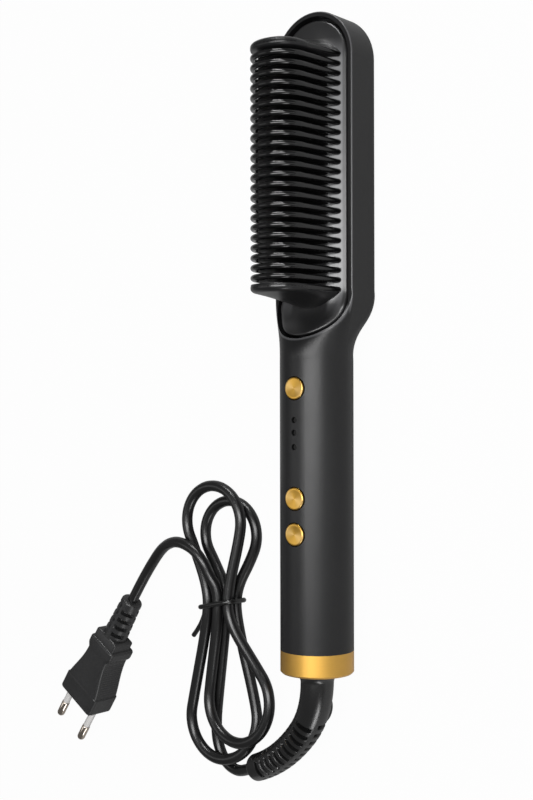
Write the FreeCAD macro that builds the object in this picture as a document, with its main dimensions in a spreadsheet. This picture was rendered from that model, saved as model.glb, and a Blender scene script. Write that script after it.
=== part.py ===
import FreeCAD, Part
import math
import os
import re
import Sketcher
from FreeCAD import Placement, Rotation, Vector

# Hair straightening brush lying on its back. X runs across it, Y along it with the head at +Y,
# and Z up through the comb. The origin is on the table, under the middle of the body.

# A size in quotes follows the sizes that it names.
SIZES = {
    # Case: a round handle that flattens into a head with a round top
    "handle_dia": 32.0,
    "wall": 2.0,
    "head_width": 42.0,
    "head_depth": 18.6,
    "head_top_y": 144.0,
    "back_round": 3.0,
    "rim_round": 0.7,
    "neck_top_y": 19.0,
    "neck_end_y": -3.0,
    "neck_margin": 4.0,
    "parting_z": 9.5,
    "ring_top_y": -132.4,
    "spigot_length": 8.5,
    "spigot_wall": 2.0,
    "ring_length": 9.9,
    "ring_wall": 1.7,
    "ring_floor": 1.1,
    "ring_edge": 0.8,
    "ring_hole_gap": 0.4,
    "inner_round": 0.6,
    "seat_gap": 0.1,
    "case_screw_inset": 3.8,
    "case_screw_y": 30.0,
    "handle_screw_y": -110.0,
    "case_screw_dia": 2.4,
    "case_screw_head": 4.2,
    "case_screw_head_height": 1.6,
    "case_screw_sink": 0.3,
    "case_screw_grip": 2.8,
    "case_boss_dia": 5.2,
    "screw_gap": 0.05,
    # Comb tray in the front opening
    "rim_width": 2.1,
    "tray_gap": 0.9,
    "tray_top": 19.5,
    "tray_crown_round": "head_width / 6",
    "tray_wall": 2.0,
    "tray_skirt": 1.6,
    "tray_sink": 0.2,
    "ledge_width": 2.2,
    "ledge_height": 3.0,
    "toe_y": 2.0,
    "toe_length": 15.0,
    # Comb guard: a row of hoops over the heating plate, with a closed cap at each end
    "hoop_count": 25.0,
    "hoop_pitch": 4.2,
    "first_hoop_y": 22.6,
    "hoop_wire": 2.6,
    "hoop_width": "head_width - 15.6",
    "hoop_top": 53.0,
    "hoop_corner": "hoop_width / 2 - 0.4",
    "leg_gap": 0.25,
    "rail_width": 2.4,
    "rail_height": 2.5,
    "rail_z": 12.75,
    "cap_bulge": 7.5,
    "cap_crest": 1.6,
    # Heating plate, heater and what clamps it
    "slab_width": "hoop_width - 9.8",
    "slab_top": 20.6,
    "flange_width": "slab_width + 3.2",
    "flange_height": 2.4,
    "tray_seat": 0.3,
    "fin_gap": 0.3,
    "fin_width": "hoop_width - 2 * hoop_wire - 2 * fin_gap",
    "fin_thick": "hoop_wire - 0.4",
    "fin_top": "hoop_top - hoop_wire - 2 * fin_gap",
    "fin_foot": "tray_top + 0.5",
    "heater_width": "slab_width - 4.6",
    "heater_length": 68.0,
    "heater_thick": 1.6,
    "mica_thick": 0.4,
    "clamp_thick": 1.0,
    "clamp_width": "heater_width + 2",
    "clamp_overhang": 8.0,
    "clamp_screw_dia": 2.5,
    "clamp_screw_head": 4.6,
    "clamp_screw_head_height": 1.2,
    "clamp_screw_grip": 4.2,
    "sensor_dia": 2.4,
    "sensor_length": 5.0,
    "fuse_dia": 3.0,
    "fuse_length": 11.0,
    "shield_width": "head_width - 14",
    "shield_length": 92.0,
    "shield_thick": 0.8,
    "shield_z": 8.4,
    "post_dia": 4.0,
    "post_x": "shield_width / 2 - 3",
    "post_y": 38.0,
    # Control board in the handle
    "board_width": "handle_dia - 11",
    "board_thick": 1.6,
    "board_top": "handle_dia - 9.4",
    "board_front_y": -9.0,
    "board_length": 92.0,
    "board_screw_y": -54.0,
    "board_screw_low_y": -95.0,
    "board_screw_dia": 2.4,
    "board_screw_head": 4.4,
    "board_screw_head_height": 1.4,
    "board_screw_grip": 7.0,
    "pillar_dia": 6.0,
    "switch_side": 6.2,
    "switch_height": 3.4,
    "capacitor_width": 8.0,
    "capacitor_length": 18.0,
    "capacitor_height": 11.0,
    "capacitor_y": -75.0,
    "triac_width": 10.0,
    "triac_length": 15.0,
    "triac_height": 4.5,
    "triac_y": -34.0,
    # Buttons, each with the plunger of its switch
    "power_button_y": -19.3,
    "plus_button_y": -66.3,
    "minus_button_y": -81.5,
    "button_dia": 9.6,
    "button_gap": 0.4,
    "button_proud": 0.3,
    "button_edge": 0.4,
    "button_flange": 11.2,
    "button_flange_height": 1.0,
    "flange_gap": 0.33,
    "button_flange_drop": "handle_dia / 2 + flange_gap - sqrt((handle_dia / 2 - wall) ^ 2 - (button_flange / 2) ^ 2)",
    "button_stem": 4.0,
    "button_travel": 0.6,
    "plunger_dia": 3.2,
    "plunger_gap": 0.15,
    "plunger_out": 1.0,
    "plunger_in": 1.0,
    # Indicator lights
    "light_first_y": -32.8,
    "light_second_y": -38.2,
    "light_third_y": -44.3,
    "light_dia": 2.5,
    "light_gap": 0.1,
    "light_recess": 0.8,
    "led_side": 1.8,
    "led_height": 0.8,
    "led_clear": 0.2,
    "guide_bar_z": "handle_dia - 6",
    "guide_bar_height": 1.2,
    "guide_bar_width": 4.0,
    # Cord swivel in the end of the handle
    "socket_flange": 2.0,
    "socket_length": 22.0,
    "socket_top_wall": 1.5,
    "socket_hole": "spindle_dia - 6.2",
    "bearing_length": 6.6,
    "chamber_dia": "handle_dia * 0.575",
    "spindle_dia": "handle_dia * 0.38125",
    "bearing_gap": 0.1,
    "spindle_core": "spindle_dia - 2.2",
    "spindle_bore": "spindle_core - 4.2",
    "spindle_top_gap": 1.0,
    "collar_dia": "spindle_dia + 4.4",
    "collar_length": 1.4,
    "collar_gap": 0.3,
    "clip_dia": "spindle_dia + 3.4 * chamber_dia / 18.4",
    "clip_groove": "spindle_core - 1.4",
    "clip_thick": 0.9,
    "clip_gap": 0.1,
    "slip_ring_dia": "(spindle_core + chamber_dia + 0.4) / 2",
    "slip_ring_length": 2.5,
    "slip_ring_first": 1.2,
    "slip_ring_step": 5.4,
    "contact_gap": 0.15,
    "contact_width": 2.0,
    # Mains cord: boot, lead, hank with its tie, tail and plug
    "cord_dia": 5.2,
    "boot_dia": "collar_dia - 2",
    "boot_mouth_dia": "boot_dia - 2.2",
    "boot_straight": 2.0,
    "boot_bend_radius": 36.0,
    "boot_bend_angle": 42.0,
    "boot_sweep_radius": 85.0,
    "boot_sweep_angle": 28.0,
    "boot_mouth_z": 6.75,
    "boot_socket_dia": "cord_dia + 3.4",
    "boot_socket_depth": 5.0,
    "hang_loop_radius": 5.6,
    "hang_loop_wire": 2.6,
    "hang_loop_y": -159.5,
    "hang_loop_z": "handle_dia / 2 - 7",
    "boot_slot_rows": 11.0,
    "boot_slot_start": 24.0,
    "boot_slot_step": 3.9,
    "boot_slot_width": 2.0,
    "boot_slot_length": 8.4,
    "boot_slot_depth": 1.9,
    "floor_gap": 0.1,
    "layer_step": 5.9,
    "waist_lift": 1.9,
    "waist_y": -122.0,
    "waist_x": -66.0,
    "waist_step": 6.2,
    "tie_dia": 1.5,
    "tie_gap": 0.3,
    "tie_corner": 3.4,
    # Plug with two round pins
    "plug_x": -120.4,
    "plug_y": -123.1,
    "plug_turn": -33.5,
    "plug_width": 25.0,
    "plug_thick": 18.0,
    "plug_length": 38.0,
    "plug_lip": 11.0,
    "grip_radius": 24.0,
    "grip_depth": 5.2,
    "plug_tail_width": 18.0,
    "collar_width": 15.5,
    "plug_collar_thick": 13.0,
    "plug_collar_length": 5.0,
    "relief_dia": 12.6,
    "relief_tip_dia": 10.4,
    "relief_core_dia": 8.6,
    "relief_length": 22.0,
    "relief_rings": 4.0,
    "relief_gap_length": 2.4,
    "pin_dia": 4.0,
    "pin_sleeve_dia": 3.5,
    "pin_core_dia": 3.0,
    "pin_fit": 0.02,
    "pin_length": 19.0,
    "pin_sleeve_length": 10.0,
    "pin_root": 6.0,
    "pin_spacing": 18.4,
    "pin_nose": 0.8,
    # Inside wires
    "wire_dia": 1.4,
    "wire_clear": 0.25,
    "heater_wire_x": "heater_width * 0.3",
    "supply_wire_x": "chamber_dia * 0.27",
    "supply_pad_y": -62.0,
}

# Lead from the bottom of the boot's mouth to the hank, along the table, chosen by hand.
LEAD_ROUTE = [
    (-56.5, -198.2, 3.6),
    (-64.8, -195.2, 2.75),
    (-69.4, -187.6, 2.7),
    (-70.5, -178.4, 2.7),
]
LEAD_END = (-69.8, -169.2, 2.7)

# Tail from the hank to the plug: it rises over the left side of one loop and comes down again.
TAIL_START = (-69.6, -107.6, 12.6)
TAIL_ROUTE = [
    (-72.2, -101.6, 14.1),
    (-77.4, -96.4, 15.0),
    (-84.4, -93.8, 15.0),
    (-92.4, -93.5, 13.7),
    (-101.0, -97.4, 11.2),
    (-108.6, -105.8, 9.4),
]

# The hank's loops in the order that the cord runs through them: centre across, centre along,
# radius, the layers that it has going in, at its end and coming out, and the place and layer
# of the strand at the waist that follows, counted from the middle strand.
HANK_LOOPS = [
    {"x": -62.0, "y": -88.6, "radius": 16.4, "layers": (0.0, 0.0, 0.0), "strand": 1, "layer": 0.0},
    {"x": -66.0, "y": -174.3, "radius": 20.0, "layers": (0.0, 1.05, 1.0), "strand": -1, "layer": 1.0},
    {"x": -71.0, "y": -82.6, "radius": 17.3, "layers": (1.0, 1.0, 1.0), "strand": 1, "layer": 1.0},
    {"x": -52.0, "y": -163.8, "radius": 19.4, "layers": (1.0, 1.6, 1.0), "strand": 0, "layer": 1.0},
]

doc = FreeCAD.newDocument("straightening_brush")
sheet = doc.addObject("Spreadsheet::Sheet", "sizes")
for row, alias in enumerate(SIZES, start=1):
    sheet.set(f"A{row}", alias)
    sheet.setAlias(f"B{row}", alias)
for row, value in enumerate(SIZES.values(), start=1):
    sheet.set(f"B{row}", f"={value}")
doc.recompute()

nodes = []


def bound(text):
    """An expression in which every size is read from the sheet."""
    def cell(match):
        word = match.group(0)
        return f"sizes.{word}" if word in SIZES else word
    return re.sub(r"[a-z][a-z_0-9]*", cell, text)


def number(text):
    """The present value of an expression of sizes."""
    return float(sheet.evalExpression(bound(text)))


def keep(label, item):
    """Name a finished sub-part and list it for export."""
    item.Label = label
    nodes.append(item)
    return item


def place(item, x="0", y="0", z="0"):
    for axis, text in (("x", x), ("y", y), ("z", z)):
        item.setExpression(f".Placement.Base.{axis}", bound(text))


def block(name, width, length, height, x="0", y="0", z="0"):
    """A box centred on x and y that stands on z."""
    solid = doc.addObject("Part::Box", name)
    solid.setExpression("Length", bound(width))
    solid.setExpression("Width", bound(length))
    solid.setExpression("Height", bound(height))
    place(solid, f"({x}) - ({width}) / 2", f"({y}) - ({length}) / 2", z)
    return solid


def rod(name, diameter, height, x="0", y="0", z="0", along="Z"):
    """A cylinder that starts at x, y, z and runs along an axis."""
    turns = {"Z": Rotation(), "Y": Rotation(Vector(1, 0, 0), -90), "X": Rotation(Vector(0, 1, 0), 90)}
    solid = doc.addObject("Part::Cylinder", name)
    solid.Placement = Placement(Vector(), turns[along])
    solid.setExpression("Radius", bound(f"({diameter}) / 2"))
    solid.setExpression("Height", bound(height))
    place(solid, x, y, z)
    return solid


def fused(name, *solids):
    result = doc.addObject("Part::MultiFuse", name)
    result.Shapes = list(solids)
    return result


def cut(name, base, *tools):
    result = doc.addObject("Part::Cut", name)
    result.Base = base
    result.Tool = tools[0] if len(tools) == 1 else fused(f"{name}_tools", *tools)
    return result


def shared(name, first, second):
    result = doc.addObject("Part::Common", name)
    result.Base = first
    result.Tool = second
    return result


def group(name, *solids):
    result = doc.addObject("Part::Compound", name)
    result.Links = list(solids)
    return result


def formed(name, shape):
    """A shape that needs lofts, sweeps or many repeats, worked out from the sheet's sizes."""
    item = doc.addObject("Part::Feature", name)
    item.Shape = shape
    return item


def outline(body, name, role, points):
    """A closed sketch of straight sides whose corners are bound to the sheet."""
    sketch = body.newObject("Sketcher::SketchObject", name)
    plane = [item for item in body.Origin.OriginFeatures if item.Role == role][0]
    sketch.AttachmentSupport = [(plane, "")]
    sketch.MapMode = "FlatFace"
    corners = [Vector(number(x), number(y), 0) for x, y in points]
    count = len(points)
    for index in range(count):
        sketch.addGeometry(Part.LineSegment(corners[index], corners[(index + 1) % count]))
    for index in range(count):
        sketch.addConstraint(Sketcher.Constraint("Coincident", index, 2, (index + 1) % count, 1))
    for index, point in enumerate(points):
        for kind, text, value, axis in zip(("DistanceX", "DistanceY"), point, corners[index], (-2, -1)):
            if text == "0":
                sketch.addConstraint(Sketcher.Constraint("PointOnObject", index, 1, axis))
                continue
            rule = sketch.addConstraint(Sketcher.Constraint(kind, -1, 1, index, 1, value))
            sketch.setExpression(f"Constraints[{rule}]", bound(text))
    return sketch


def turned(name, points, along, x="0", y="0", z="0"):
    """A body of revolution: its profile gives a radius and a station on the axis."""
    body = doc.addObject("PartDesign::Body", name)
    role = {"Y": "XY_Plane", "Z": "XZ_Plane"}[along]
    sketch = outline(body, f"{name}_profile", role, points)
    solid = body.newObject("PartDesign::Revolution", f"{name}_turned")
    solid.Profile = sketch
    solid.ReferenceAxis = (sketch, ["V_Axis"])
    solid.Angle = 360
    place(body, x, y, z)
    return body


# Lofted forms of the case

def section(y, half_width, bottom, top, low_round, high_round):
    """A rounded outline across the brush, in eight edges. Full rounds make it a circle."""
    radius = (top - bottom) / 2
    middle = (top + bottom) / 2
    if low_round >= half_width - 1e-6:
        slice_angle = math.radians(4.0)
        turns = []
        for quarter in (-90, 0, 90, 180):
            turns += [math.radians(quarter) - slice_angle, math.radians(quarter) + slice_angle]
        turns.append(turns[0] + 2 * math.pi)
        spot = lambda angle: Vector(radius * math.cos(angle), y, middle + radius * math.sin(angle))
        edges = [Part.Arc(spot(a), spot((a + b) / 2), spot(b)).toShape() for a, b in zip(turns, turns[1:])]
        return Part.Wire(edges)
    corners = (
        (half_width - low_round, bottom + low_round, low_round, -90),
        (half_width - high_round, top - high_round, high_round, 0),
        (-half_width + high_round, top - high_round, high_round, 90),
        (-half_width + low_round, bottom + low_round, low_round, 180),
    )
    edges = []
    last = Vector(-half_width + low_round, y, bottom)
    for x, z, bend, start in corners:
        spots = []
        for turn in (start, start + 45, start + 90):
            angle = math.radians(turn)
            spots.append(Vector(x + bend * math.cos(angle), y, z + bend * math.sin(angle)))
        edges.append(Part.LineSegment(last, spots[0]).toShape())
        edges.append(Part.Arc(*spots).toShape())
        last = spots[2]
    return Part.Wire(edges)


def brush_form(head, handle_radius, end_y):
    """A head with a round top that passes through the neck into a round handle."""
    axis_z = size_of("handle_dia") / 2
    half_width, bottom, top, low_round, high_round = head
    arch_y = size_of("head_top_y") - size_of("head_width") / 2
    neck_top = size_of("neck_top_y")
    neck_end = size_of("neck_end_y")
    margin = size_of("neck_margin")
    round_section = (handle_radius, axis_z - handle_radius, axis_z + handle_radius,
                     handle_radius, handle_radius)
    shares = [0.0, 0.25, 0.5, 0.75]
    wires = [section(neck_top + margin, *head)]
    for share in shares:
        ease = share * share * (3 - 2 * share)
        sizes = [a + (b - a) * ease for a, b in zip(head, round_section)]
        wires.append(section(neck_top + (neck_end - neck_top) * share, *sizes))
    wires.append(section(neck_end, *round_section))
    wires.append(section(neck_end - margin, *round_section))
    neck = Part.makeLoft(wires, True, False)
    straight = Part.Face(wires[0]).extrude(Vector(0, arch_y - neck_top - margin, 0))
    whole = Part.Face(section(arch_y, *head))
    keep_half = Part.makeBox(half_width * 2, 1, top - bottom + 2, Vector(0, arch_y - 0.5, bottom - 1))
    half = whole.common(keep_half).Faces[0]
    arch = half.revolve(Vector(0, arch_y, 0), Vector(0, 0, 1), 180)
    grip_length = neck_end - margin - end_y
    grip = Part.makeCylinder(handle_radius, grip_length, Vector(0, end_y, axis_z), Vector(0, 1, 0))
    return neck.multiFuse([straight, arch, grip]).removeSplitter()


def size_of(alias):
    return float(sheet.get(alias))


def opening(inset, bottom, top):
    """An upright prism with the outline of the front opening, drawn in by inset."""
    half_width = size_of("head_width") / 2 - size_of("rim_width") - inset
    arch_y = size_of("head_top_y") - size_of("head_width") / 2
    toe_centre = size_of("toe_y") + size_of("toe_length")
    toe = size_of("toe_length") - inset
    top_arc = Part.Arc(Vector(half_width, arch_y, bottom), Vector(0, arch_y + half_width, bottom),
                       Vector(-half_width, arch_y, bottom))
    centre = Vector(0, toe_centre, bottom)
    if half_width > toe:
        ellipse = Part.Ellipse(Vector(half_width, toe_centre, bottom), Vector(0, toe_centre + toe, bottom), centre)
        toe_arc = Part.ArcOfEllipse(ellipse, math.pi, 2 * math.pi)
    else:
        toe_arc = Part.Arc(Vector(-half_width, toe_centre, bottom), Vector(0, toe_centre - half_width, bottom),
                           Vector(half_width, toe_centre, bottom))
    left = Part.LineSegment(Vector(-half_width, arch_y, bottom), Vector(-half_width, toe_centre, bottom))
    right = Part.LineSegment(Vector(half_width, toe_centre, bottom), Vector(half_width, arch_y, bottom))
    wire = Part.Wire([top_arc.toShape(), left.toShape(), toe_arc.toShape(), right.toShape()])
    return Part.Face(wire).extrude(Vector(0, 0, top - bottom))


def sweep(edges, radius):
    """A round tube along joined edges."""
    wire = Part.Wire(edges)
    first = edges[0]
    start = first.valueAt(first.FirstParameter)
    heading = first.tangentAt(first.FirstParameter)
    ring = Part.Wire(Part.Circle(start, heading, radius).toShape())
    return wire.makePipeShell([ring], True, False)


def soft_bends(points, report):
    """Straight runs with an arc at every corner, as large as the two runs beside it allow."""
    points = [Vector(*point) for point in points]
    edges = []
    last = points[0]
    radii = []
    for before, corner, after in zip(points, points[1:], points[2:]):
        back = (before - corner).normalize()
        ahead = (after - corner).normalize()
        half_turn = (math.pi - back.getAngle(ahead)) / 2
        reach = 0.45 * min((before - corner).Length, (after - corner).Length)
        radius = reach / math.tan(half_turn)
        enter = corner + back * reach
        leave = corner + ahead * reach
        inward = (back + ahead).normalize()
        middle = corner + inward * (radius / math.cos(half_turn) - radius)
        edges.append(Part.LineSegment(last, enter).toShape())
        edges.append(Part.Arc(enter, middle, leave).toShape())
        last = leave
        radii.append(radius)
    edges.append(Part.LineSegment(last, points[-1]).toShape())
    print(f"{report}: bend radii", " ".join(f"{radius:.1f}" for radius in radii))
    return edges


def arc_from(start, heading, end):
    """The arc that leaves start along heading and reaches end."""
    chord = end - start
    along = Vector(chord).normalize()
    aside = heading - along * heading.dot(along)
    if aside.Length < 1e-6:
        return Part.LineSegment(start, end).toShape()
    bend = heading.getAngle(along)
    middle = start + chord * 0.5 + aside.normalize() * (chord.Length / 2 * math.tan(bend / 2))
    return Part.Arc(start, middle, end).toShape()


def biarc(start, heading, end, arrival):
    """Two tangent arcs from one point and heading to another."""
    span = end - start
    slope = span.dot(heading + arrival)
    spread = 2 * (1 - heading.dot(arrival))
    if spread < 1e-9:
        reach = span.dot(span) / (2 * slope)
    else:
        reach = (-slope + math.sqrt(slope * slope + spread * span.dot(span))) / spread
    leave = start + heading * reach
    approach = end - arrival * reach
    joint = (leave + approach) * 0.5
    middle = (approach - leave).normalize()
    return [arc_from(start, heading, joint), arc_from(joint, middle, end)]


# Case

AXIS_Z = "handle_dia / 2"
SPIGOT_DIA = "handle_dia - 2 * ring_wall - 2 * seat_gap"
SPIGOT_BORE = "handle_dia - 2 * ring_wall - 2 * seat_gap - 2 * spigot_wall"
SPIGOT_END = "(ring_top_y - spigot_length)"
BOARD_BOTTOM = "(board_top - board_thick)"
SWITCH_TOP = "(board_top + switch_height)"
LEDGE_TOP = "(parting_z + ledge_height)"

half_head = size_of("head_width") / 2
case_form = formed("case_form", brush_form(
    (half_head, 0.0, size_of("head_depth"), size_of("back_round"), size_of("rim_round")),
    size_of("handle_dia") / 2, size_of("ring_top_y")))
wall = size_of("wall")
case_hollow = formed("case_hollow", brush_form(
    (half_head - wall, wall, size_of("head_depth") - wall, size_of("inner_round"), size_of("inner_round")),
    size_of("handle_dia") / 2 - wall, size_of("ring_top_y") + wall))
tray_form = formed("tray_form", brush_form(
    (half_head, 0.0, size_of("tray_top"), size_of("back_round"), size_of("tray_crown_round")),
    size_of("handle_dia") / 2 - size_of("tray_sink"), size_of("ring_top_y")))

spigot = rod("spigot", SPIGOT_DIA, "spigot_length + 1", "0", SPIGOT_END, AXIS_Z, "Y")
spigot_bore = rod("spigot_bore", SPIGOT_BORE, "spigot_length + wall + 2", "0",
                  f"{SPIGOT_END} - 1", AXIS_Z, "Y")
case_outer = fused("case_outer", case_form, spigot)
case_skin = cut("case_skin", case_outer, case_hollow, spigot_bore)
lower_space = block("lower_space", "head_width + 20", "head_top_y * 2 + 20", "parting_z + 10", "0", "0", "-10")
upper_space = block("upper_space", "head_width + 20", "head_top_y * 2 + 20", "handle_dia + 10",
                    "0", "0", "parting_z")
lower_skin = shared("lower_skin", case_skin, lower_space)
upper_skin = shared("upper_skin", case_skin, upper_space)

# Screws that hold the two halves: two beside the heating plate, one at the top, one in the handle
CASE_SCREWS = (
    ("head_width / 2 - case_screw_inset", "case_screw_y"),
    ("case_screw_inset - head_width / 2", "case_screw_y"),
    ("0", "head_top_y - case_screw_inset"),
    ("0", "handle_screw_y"),
)
HEAD_TOP = "(case_screw_sink + case_screw_head_height)"
rear_bosses = []
rear_holes = []
front_bosses = []
front_holes = []
screws = []
for index, (x, y) in enumerate(CASE_SCREWS, start=1):
    rear_bosses.append(rod(f"rear_boss_{index}", "case_boss_dia", "parting_z - 0.5", x, y, "0.5"))
    rear_holes.append(rod(f"head_recess_{index}", "case_screw_head + 4 * screw_gap",
                          f"{HEAD_TOP} + 1", x, y, "-1"))
    rear_holes.append(rod(f"shank_hole_{index}", "case_screw_dia + 4 * screw_gap", "parting_z", x, y, "0.5"))
    front_holes.append(rod(f"thread_hole_{index}", "case_screw_dia + 2 * screw_gap",
                           "case_screw_grip + 1", x, y, "parting_z - 0.5"))
    shank = rod(f"case_shank_{index}", "case_screw_dia", f"parting_z + case_screw_grip - {HEAD_TOP}",
                x, y, HEAD_TOP)
    head = rod(f"case_head_{index}", "case_screw_head", "case_screw_head_height", x, y, "case_screw_sink")
    screws.append(fused(f"case_screw_{index}", shank, head))
for index, (x, y) in enumerate(CASE_SCREWS[:3], start=1):
    front_bosses.append(rod(f"front_boss_{index}", "case_boss_dia", "ledge_height", x, y, "parting_z"))
front_bosses.append(rod("front_boss_handle", "case_boss_dia", "handle_dia - wall / 2 - parting_z",
                        "0", "handle_screw_y", "parting_z"))
keep("case_screws", group("case_screws", *screws))

# Rear half: with the pillars of the board and the posts of the heat shield
plate_start = "(first_hoop_y + hoop_wire / 2 + fin_gap)"
plate_end = "(first_hoop_y + (hoop_count - 1) * hoop_pitch - hoop_wire / 2 - fin_gap)"
plate_mid = f"(({plate_start} + {plate_end}) / 2)"
plate_length = f"({plate_end} - {plate_start})"
pillars = []
pillar_holes = []
board_screws = []
board_holes = []
for index, y in enumerate(("board_screw_y", "board_screw_low_y"), start=1):
    pillars.append(rod(f"pillar_{index}", "pillar_dia", f"{BOARD_BOTTOM} - wall / 2", "0", y, "wall / 2"))
    pillar_holes.append(rod(f"pillar_hole_{index}", "board_screw_dia + 2 * screw_gap",
                            "board_screw_grip + 2", "0", y, f"{BOARD_BOTTOM} - board_screw_grip - 1"))
    board_holes.append(rod(f"board_hole_{index}", "board_screw_dia + 4 * screw_gap",
                           "board_thick + 2", "0", y, f"{BOARD_BOTTOM} - 1"))
    shank = rod(f"board_shank_{index}", "board_screw_dia", "board_screw_grip + board_thick", "0", y,
                f"{BOARD_BOTTOM} - board_screw_grip")
    head = rod(f"board_head_{index}", "board_screw_head", "board_screw_head_height", "0", y, "board_top")
    board_screws.append(fused(f"board_screw_{index}", shank, head))
posts = []
for side in ("1", "-1"):
    for end in ("1", "-1"):
        posts.append(rod(f"post_{len(posts) + 1}", "post_dia", "shield_z - wall / 2", f"{side} * post_x",
                         f"{plate_mid} + {end} * post_y", "wall / 2"))
rear_solid = fused("rear_solid", lower_skin, *rear_bosses, *pillars, *posts)
keep("rear_shell", cut("rear_shell", rear_solid, *rear_holes, *pillar_holes))

# Front half: an opening with a ledge inside it, and holes for buttons and lights
BUTTONS = (("power", "power_button_y"), ("plus", "plus_button_y"), ("minus", "minus_button_y"))
LIGHTS = ("light_first_y", "light_second_y", "light_third_y")
parting = size_of("parting_z")
ledge_top = number(LEDGE_TOP)
ledge_ring = opening(-1.2, parting, ledge_top).cut(opening(size_of("ledge_width"), parting, ledge_top))
ledge = formed("ledge", ledge_ring.common(case_form.Shape))
window = formed("window", opening(0.0, ledge_top, size_of("handle_dia") + 10))
front_solid = fused("front_solid", upper_skin, ledge, *front_bosses)
for name, y in BUTTONS:
    front_holes.append(rod(f"{name}_hole", "button_dia + 2 * button_gap", "handle_dia / 2", "0", y,
                           "handle_dia * 3 / 4"))
for index, y in enumerate(LIGHTS, start=1):
    front_holes.append(rod(f"light_hole_{index}", "light_dia + 2 * light_gap", "handle_dia / 2", "0", y,
                           "handle_dia * 3 / 4"))
keep("front_shell", cut("front_shell", front_solid, window, *front_holes))

# Gold ring that closes the end
RING_BOTTOM = "(ring_top_y - ring_length)"
RING_HOLE = "(spindle_dia / 2 + ring_hole_gap)"
keep("end_ring", turned("end_ring", [
    (RING_HOLE, RING_BOTTOM),
    ("handle_dia / 2 - ring_edge", RING_BOTTOM),
    ("handle_dia / 2", f"{RING_BOTTOM} + ring_edge"),
    ("handle_dia / 2", "ring_top_y"),
    ("handle_dia / 2 - ring_wall", "ring_top_y"),
    ("handle_dia / 2 - ring_wall", f"{RING_BOTTOM} + ring_floor"),
    (RING_HOLE, f"{RING_BOTTOM} + ring_floor"),
], "Y", z=AXIS_Z))

# Comb tray: a shell with a skirt that stands on the ledge
tray_gap = size_of("tray_gap")
tray_block = tray_form.Shape.common(opening(tray_gap, ledge_top, size_of("handle_dia") + 10))
tray_room = tray_form.Shape.copy()
tray_room.translate(Vector(0, 0, -size_of("tray_wall")))
tray_room = tray_room.common(opening(tray_gap + size_of("tray_skirt"), 0.0, size_of("handle_dia")))
tray_blank = formed("tray_blank", tray_block.cut(tray_room))
hoop_count = int(round(size_of("hoop_count")))
hoop_rows = [size_of("first_hoop_y") + size_of("hoop_pitch") * row for row in range(hoop_count)]
leg_x = (size_of("hoop_width") - size_of("hoop_wire")) / 2
leg_holes = []
for row_y in hoop_rows:
    for side in (1, -1):
        leg_holes.append(Part.makeCylinder(size_of("hoop_wire") / 2 + size_of("leg_gap"),
                                           size_of("handle_dia"), Vector(side * leg_x, row_y, parting)))
leg_room = formed("leg_room", Part.makeCompound(leg_holes))
slab_room = block("slab_room", "slab_width + 2 * tray_seat", f"{plate_length} + 2 * tray_seat",
                  "handle_dia", "0", plate_mid, "parting_z")
tray_open = cut("tray_open", tray_blank, slab_room)
keep("comb_tray", cut("comb_tray", tray_open, leg_room))

# Comb guard: hoops on two rails, a cross tie and a cap at each end


def hoop():
    """One hoop, from rail to rail, at the first row."""
    foot = size_of("rail_z") + size_of("rail_height") / 2
    top = size_of("hoop_top") - size_of("hoop_wire") / 2
    bend = size_of("hoop_corner") - size_of("hoop_wire") / 2
    y = hoop_rows[0]
    lean = bend * (1 - math.sqrt(0.5))
    spots = [Vector(-leg_x, y, foot), Vector(-leg_x, y, top - bend), Vector(-leg_x + lean, y, top - lean),
             Vector(-leg_x + bend, y, top), Vector(leg_x - bend, y, top), Vector(leg_x - lean, y, top - lean),
             Vector(leg_x, y, top - bend), Vector(leg_x, y, foot)]
    edges = [Part.LineSegment(spots[0], spots[1]).toShape(), Part.Arc(*spots[1:4]).toShape(),
             Part.LineSegment(spots[3], spots[4]).toShape(), Part.Arc(*spots[4:7]).toShape(),
             Part.LineSegment(spots[6], spots[7]).toShape()]
    return sweep(edges, size_of("hoop_wire") / 2)


def end_cap(row_y, outward):
    """A closed cap over one end of the comb, with a foot that swells outward."""
    half = size_of("hoop_width") / 2
    top = size_of("hoop_top")
    foot = size_of("rail_z")
    bend = size_of("hoop_corner")
    inner = -size_of("hoop_wire") / 2 * outward
    edge = size_of("hoop_wire") / 2 * 0.8 * outward

    def level(z, swell):
        left = Vector(-half, row_y + edge, z)
        right = Vector(half, row_y + edge, z)
        back_left = Vector(-half, row_y + inner, z)
        back_right = Vector(half, row_y + inner, z)
        crest = Vector(0, row_y + swell * outward, z)
        return Part.Wire([Part.Arc(left, crest, right).toShape(), Part.LineSegment(right, back_right).toShape(),
                          Part.LineSegment(back_right, back_left).toShape(),
                          Part.LineSegment(back_left, left).toShape()])

    wedge = Part.makeLoft([level(size_of("tray_top"), size_of("cap_bulge")),
                           level(top, size_of("cap_crest"))], True, True)
    depth = size_of("cap_bulge") + size_of("hoop_wire")
    front = row_y - depth
    lean = bend * (1 - math.sqrt(0.5))
    spots = [Vector(-half, front, foot), Vector(-half, front, top - bend), Vector(-half + lean, front, top - lean),
             Vector(-half + bend, front, top), Vector(half - bend, front, top), Vector(half - lean, front, top - lean),
             Vector(half, front, top - bend), Vector(half, front, foot)]
    arch = Part.Wire([Part.LineSegment(spots[0], spots[1]).toShape(), Part.Arc(*spots[1:4]).toShape(),
                      Part.LineSegment(spots[3], spots[4]).toShape(), Part.Arc(*spots[4:7]).toShape(),
                      Part.LineSegment(spots[6], spots[7]).toShape(), Part.LineSegment(spots[7], spots[0]).toShape()])
    arched = Part.Face(arch).extrude(Vector(0, 2 * depth, 0))
    return wedge.common(arched)


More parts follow.
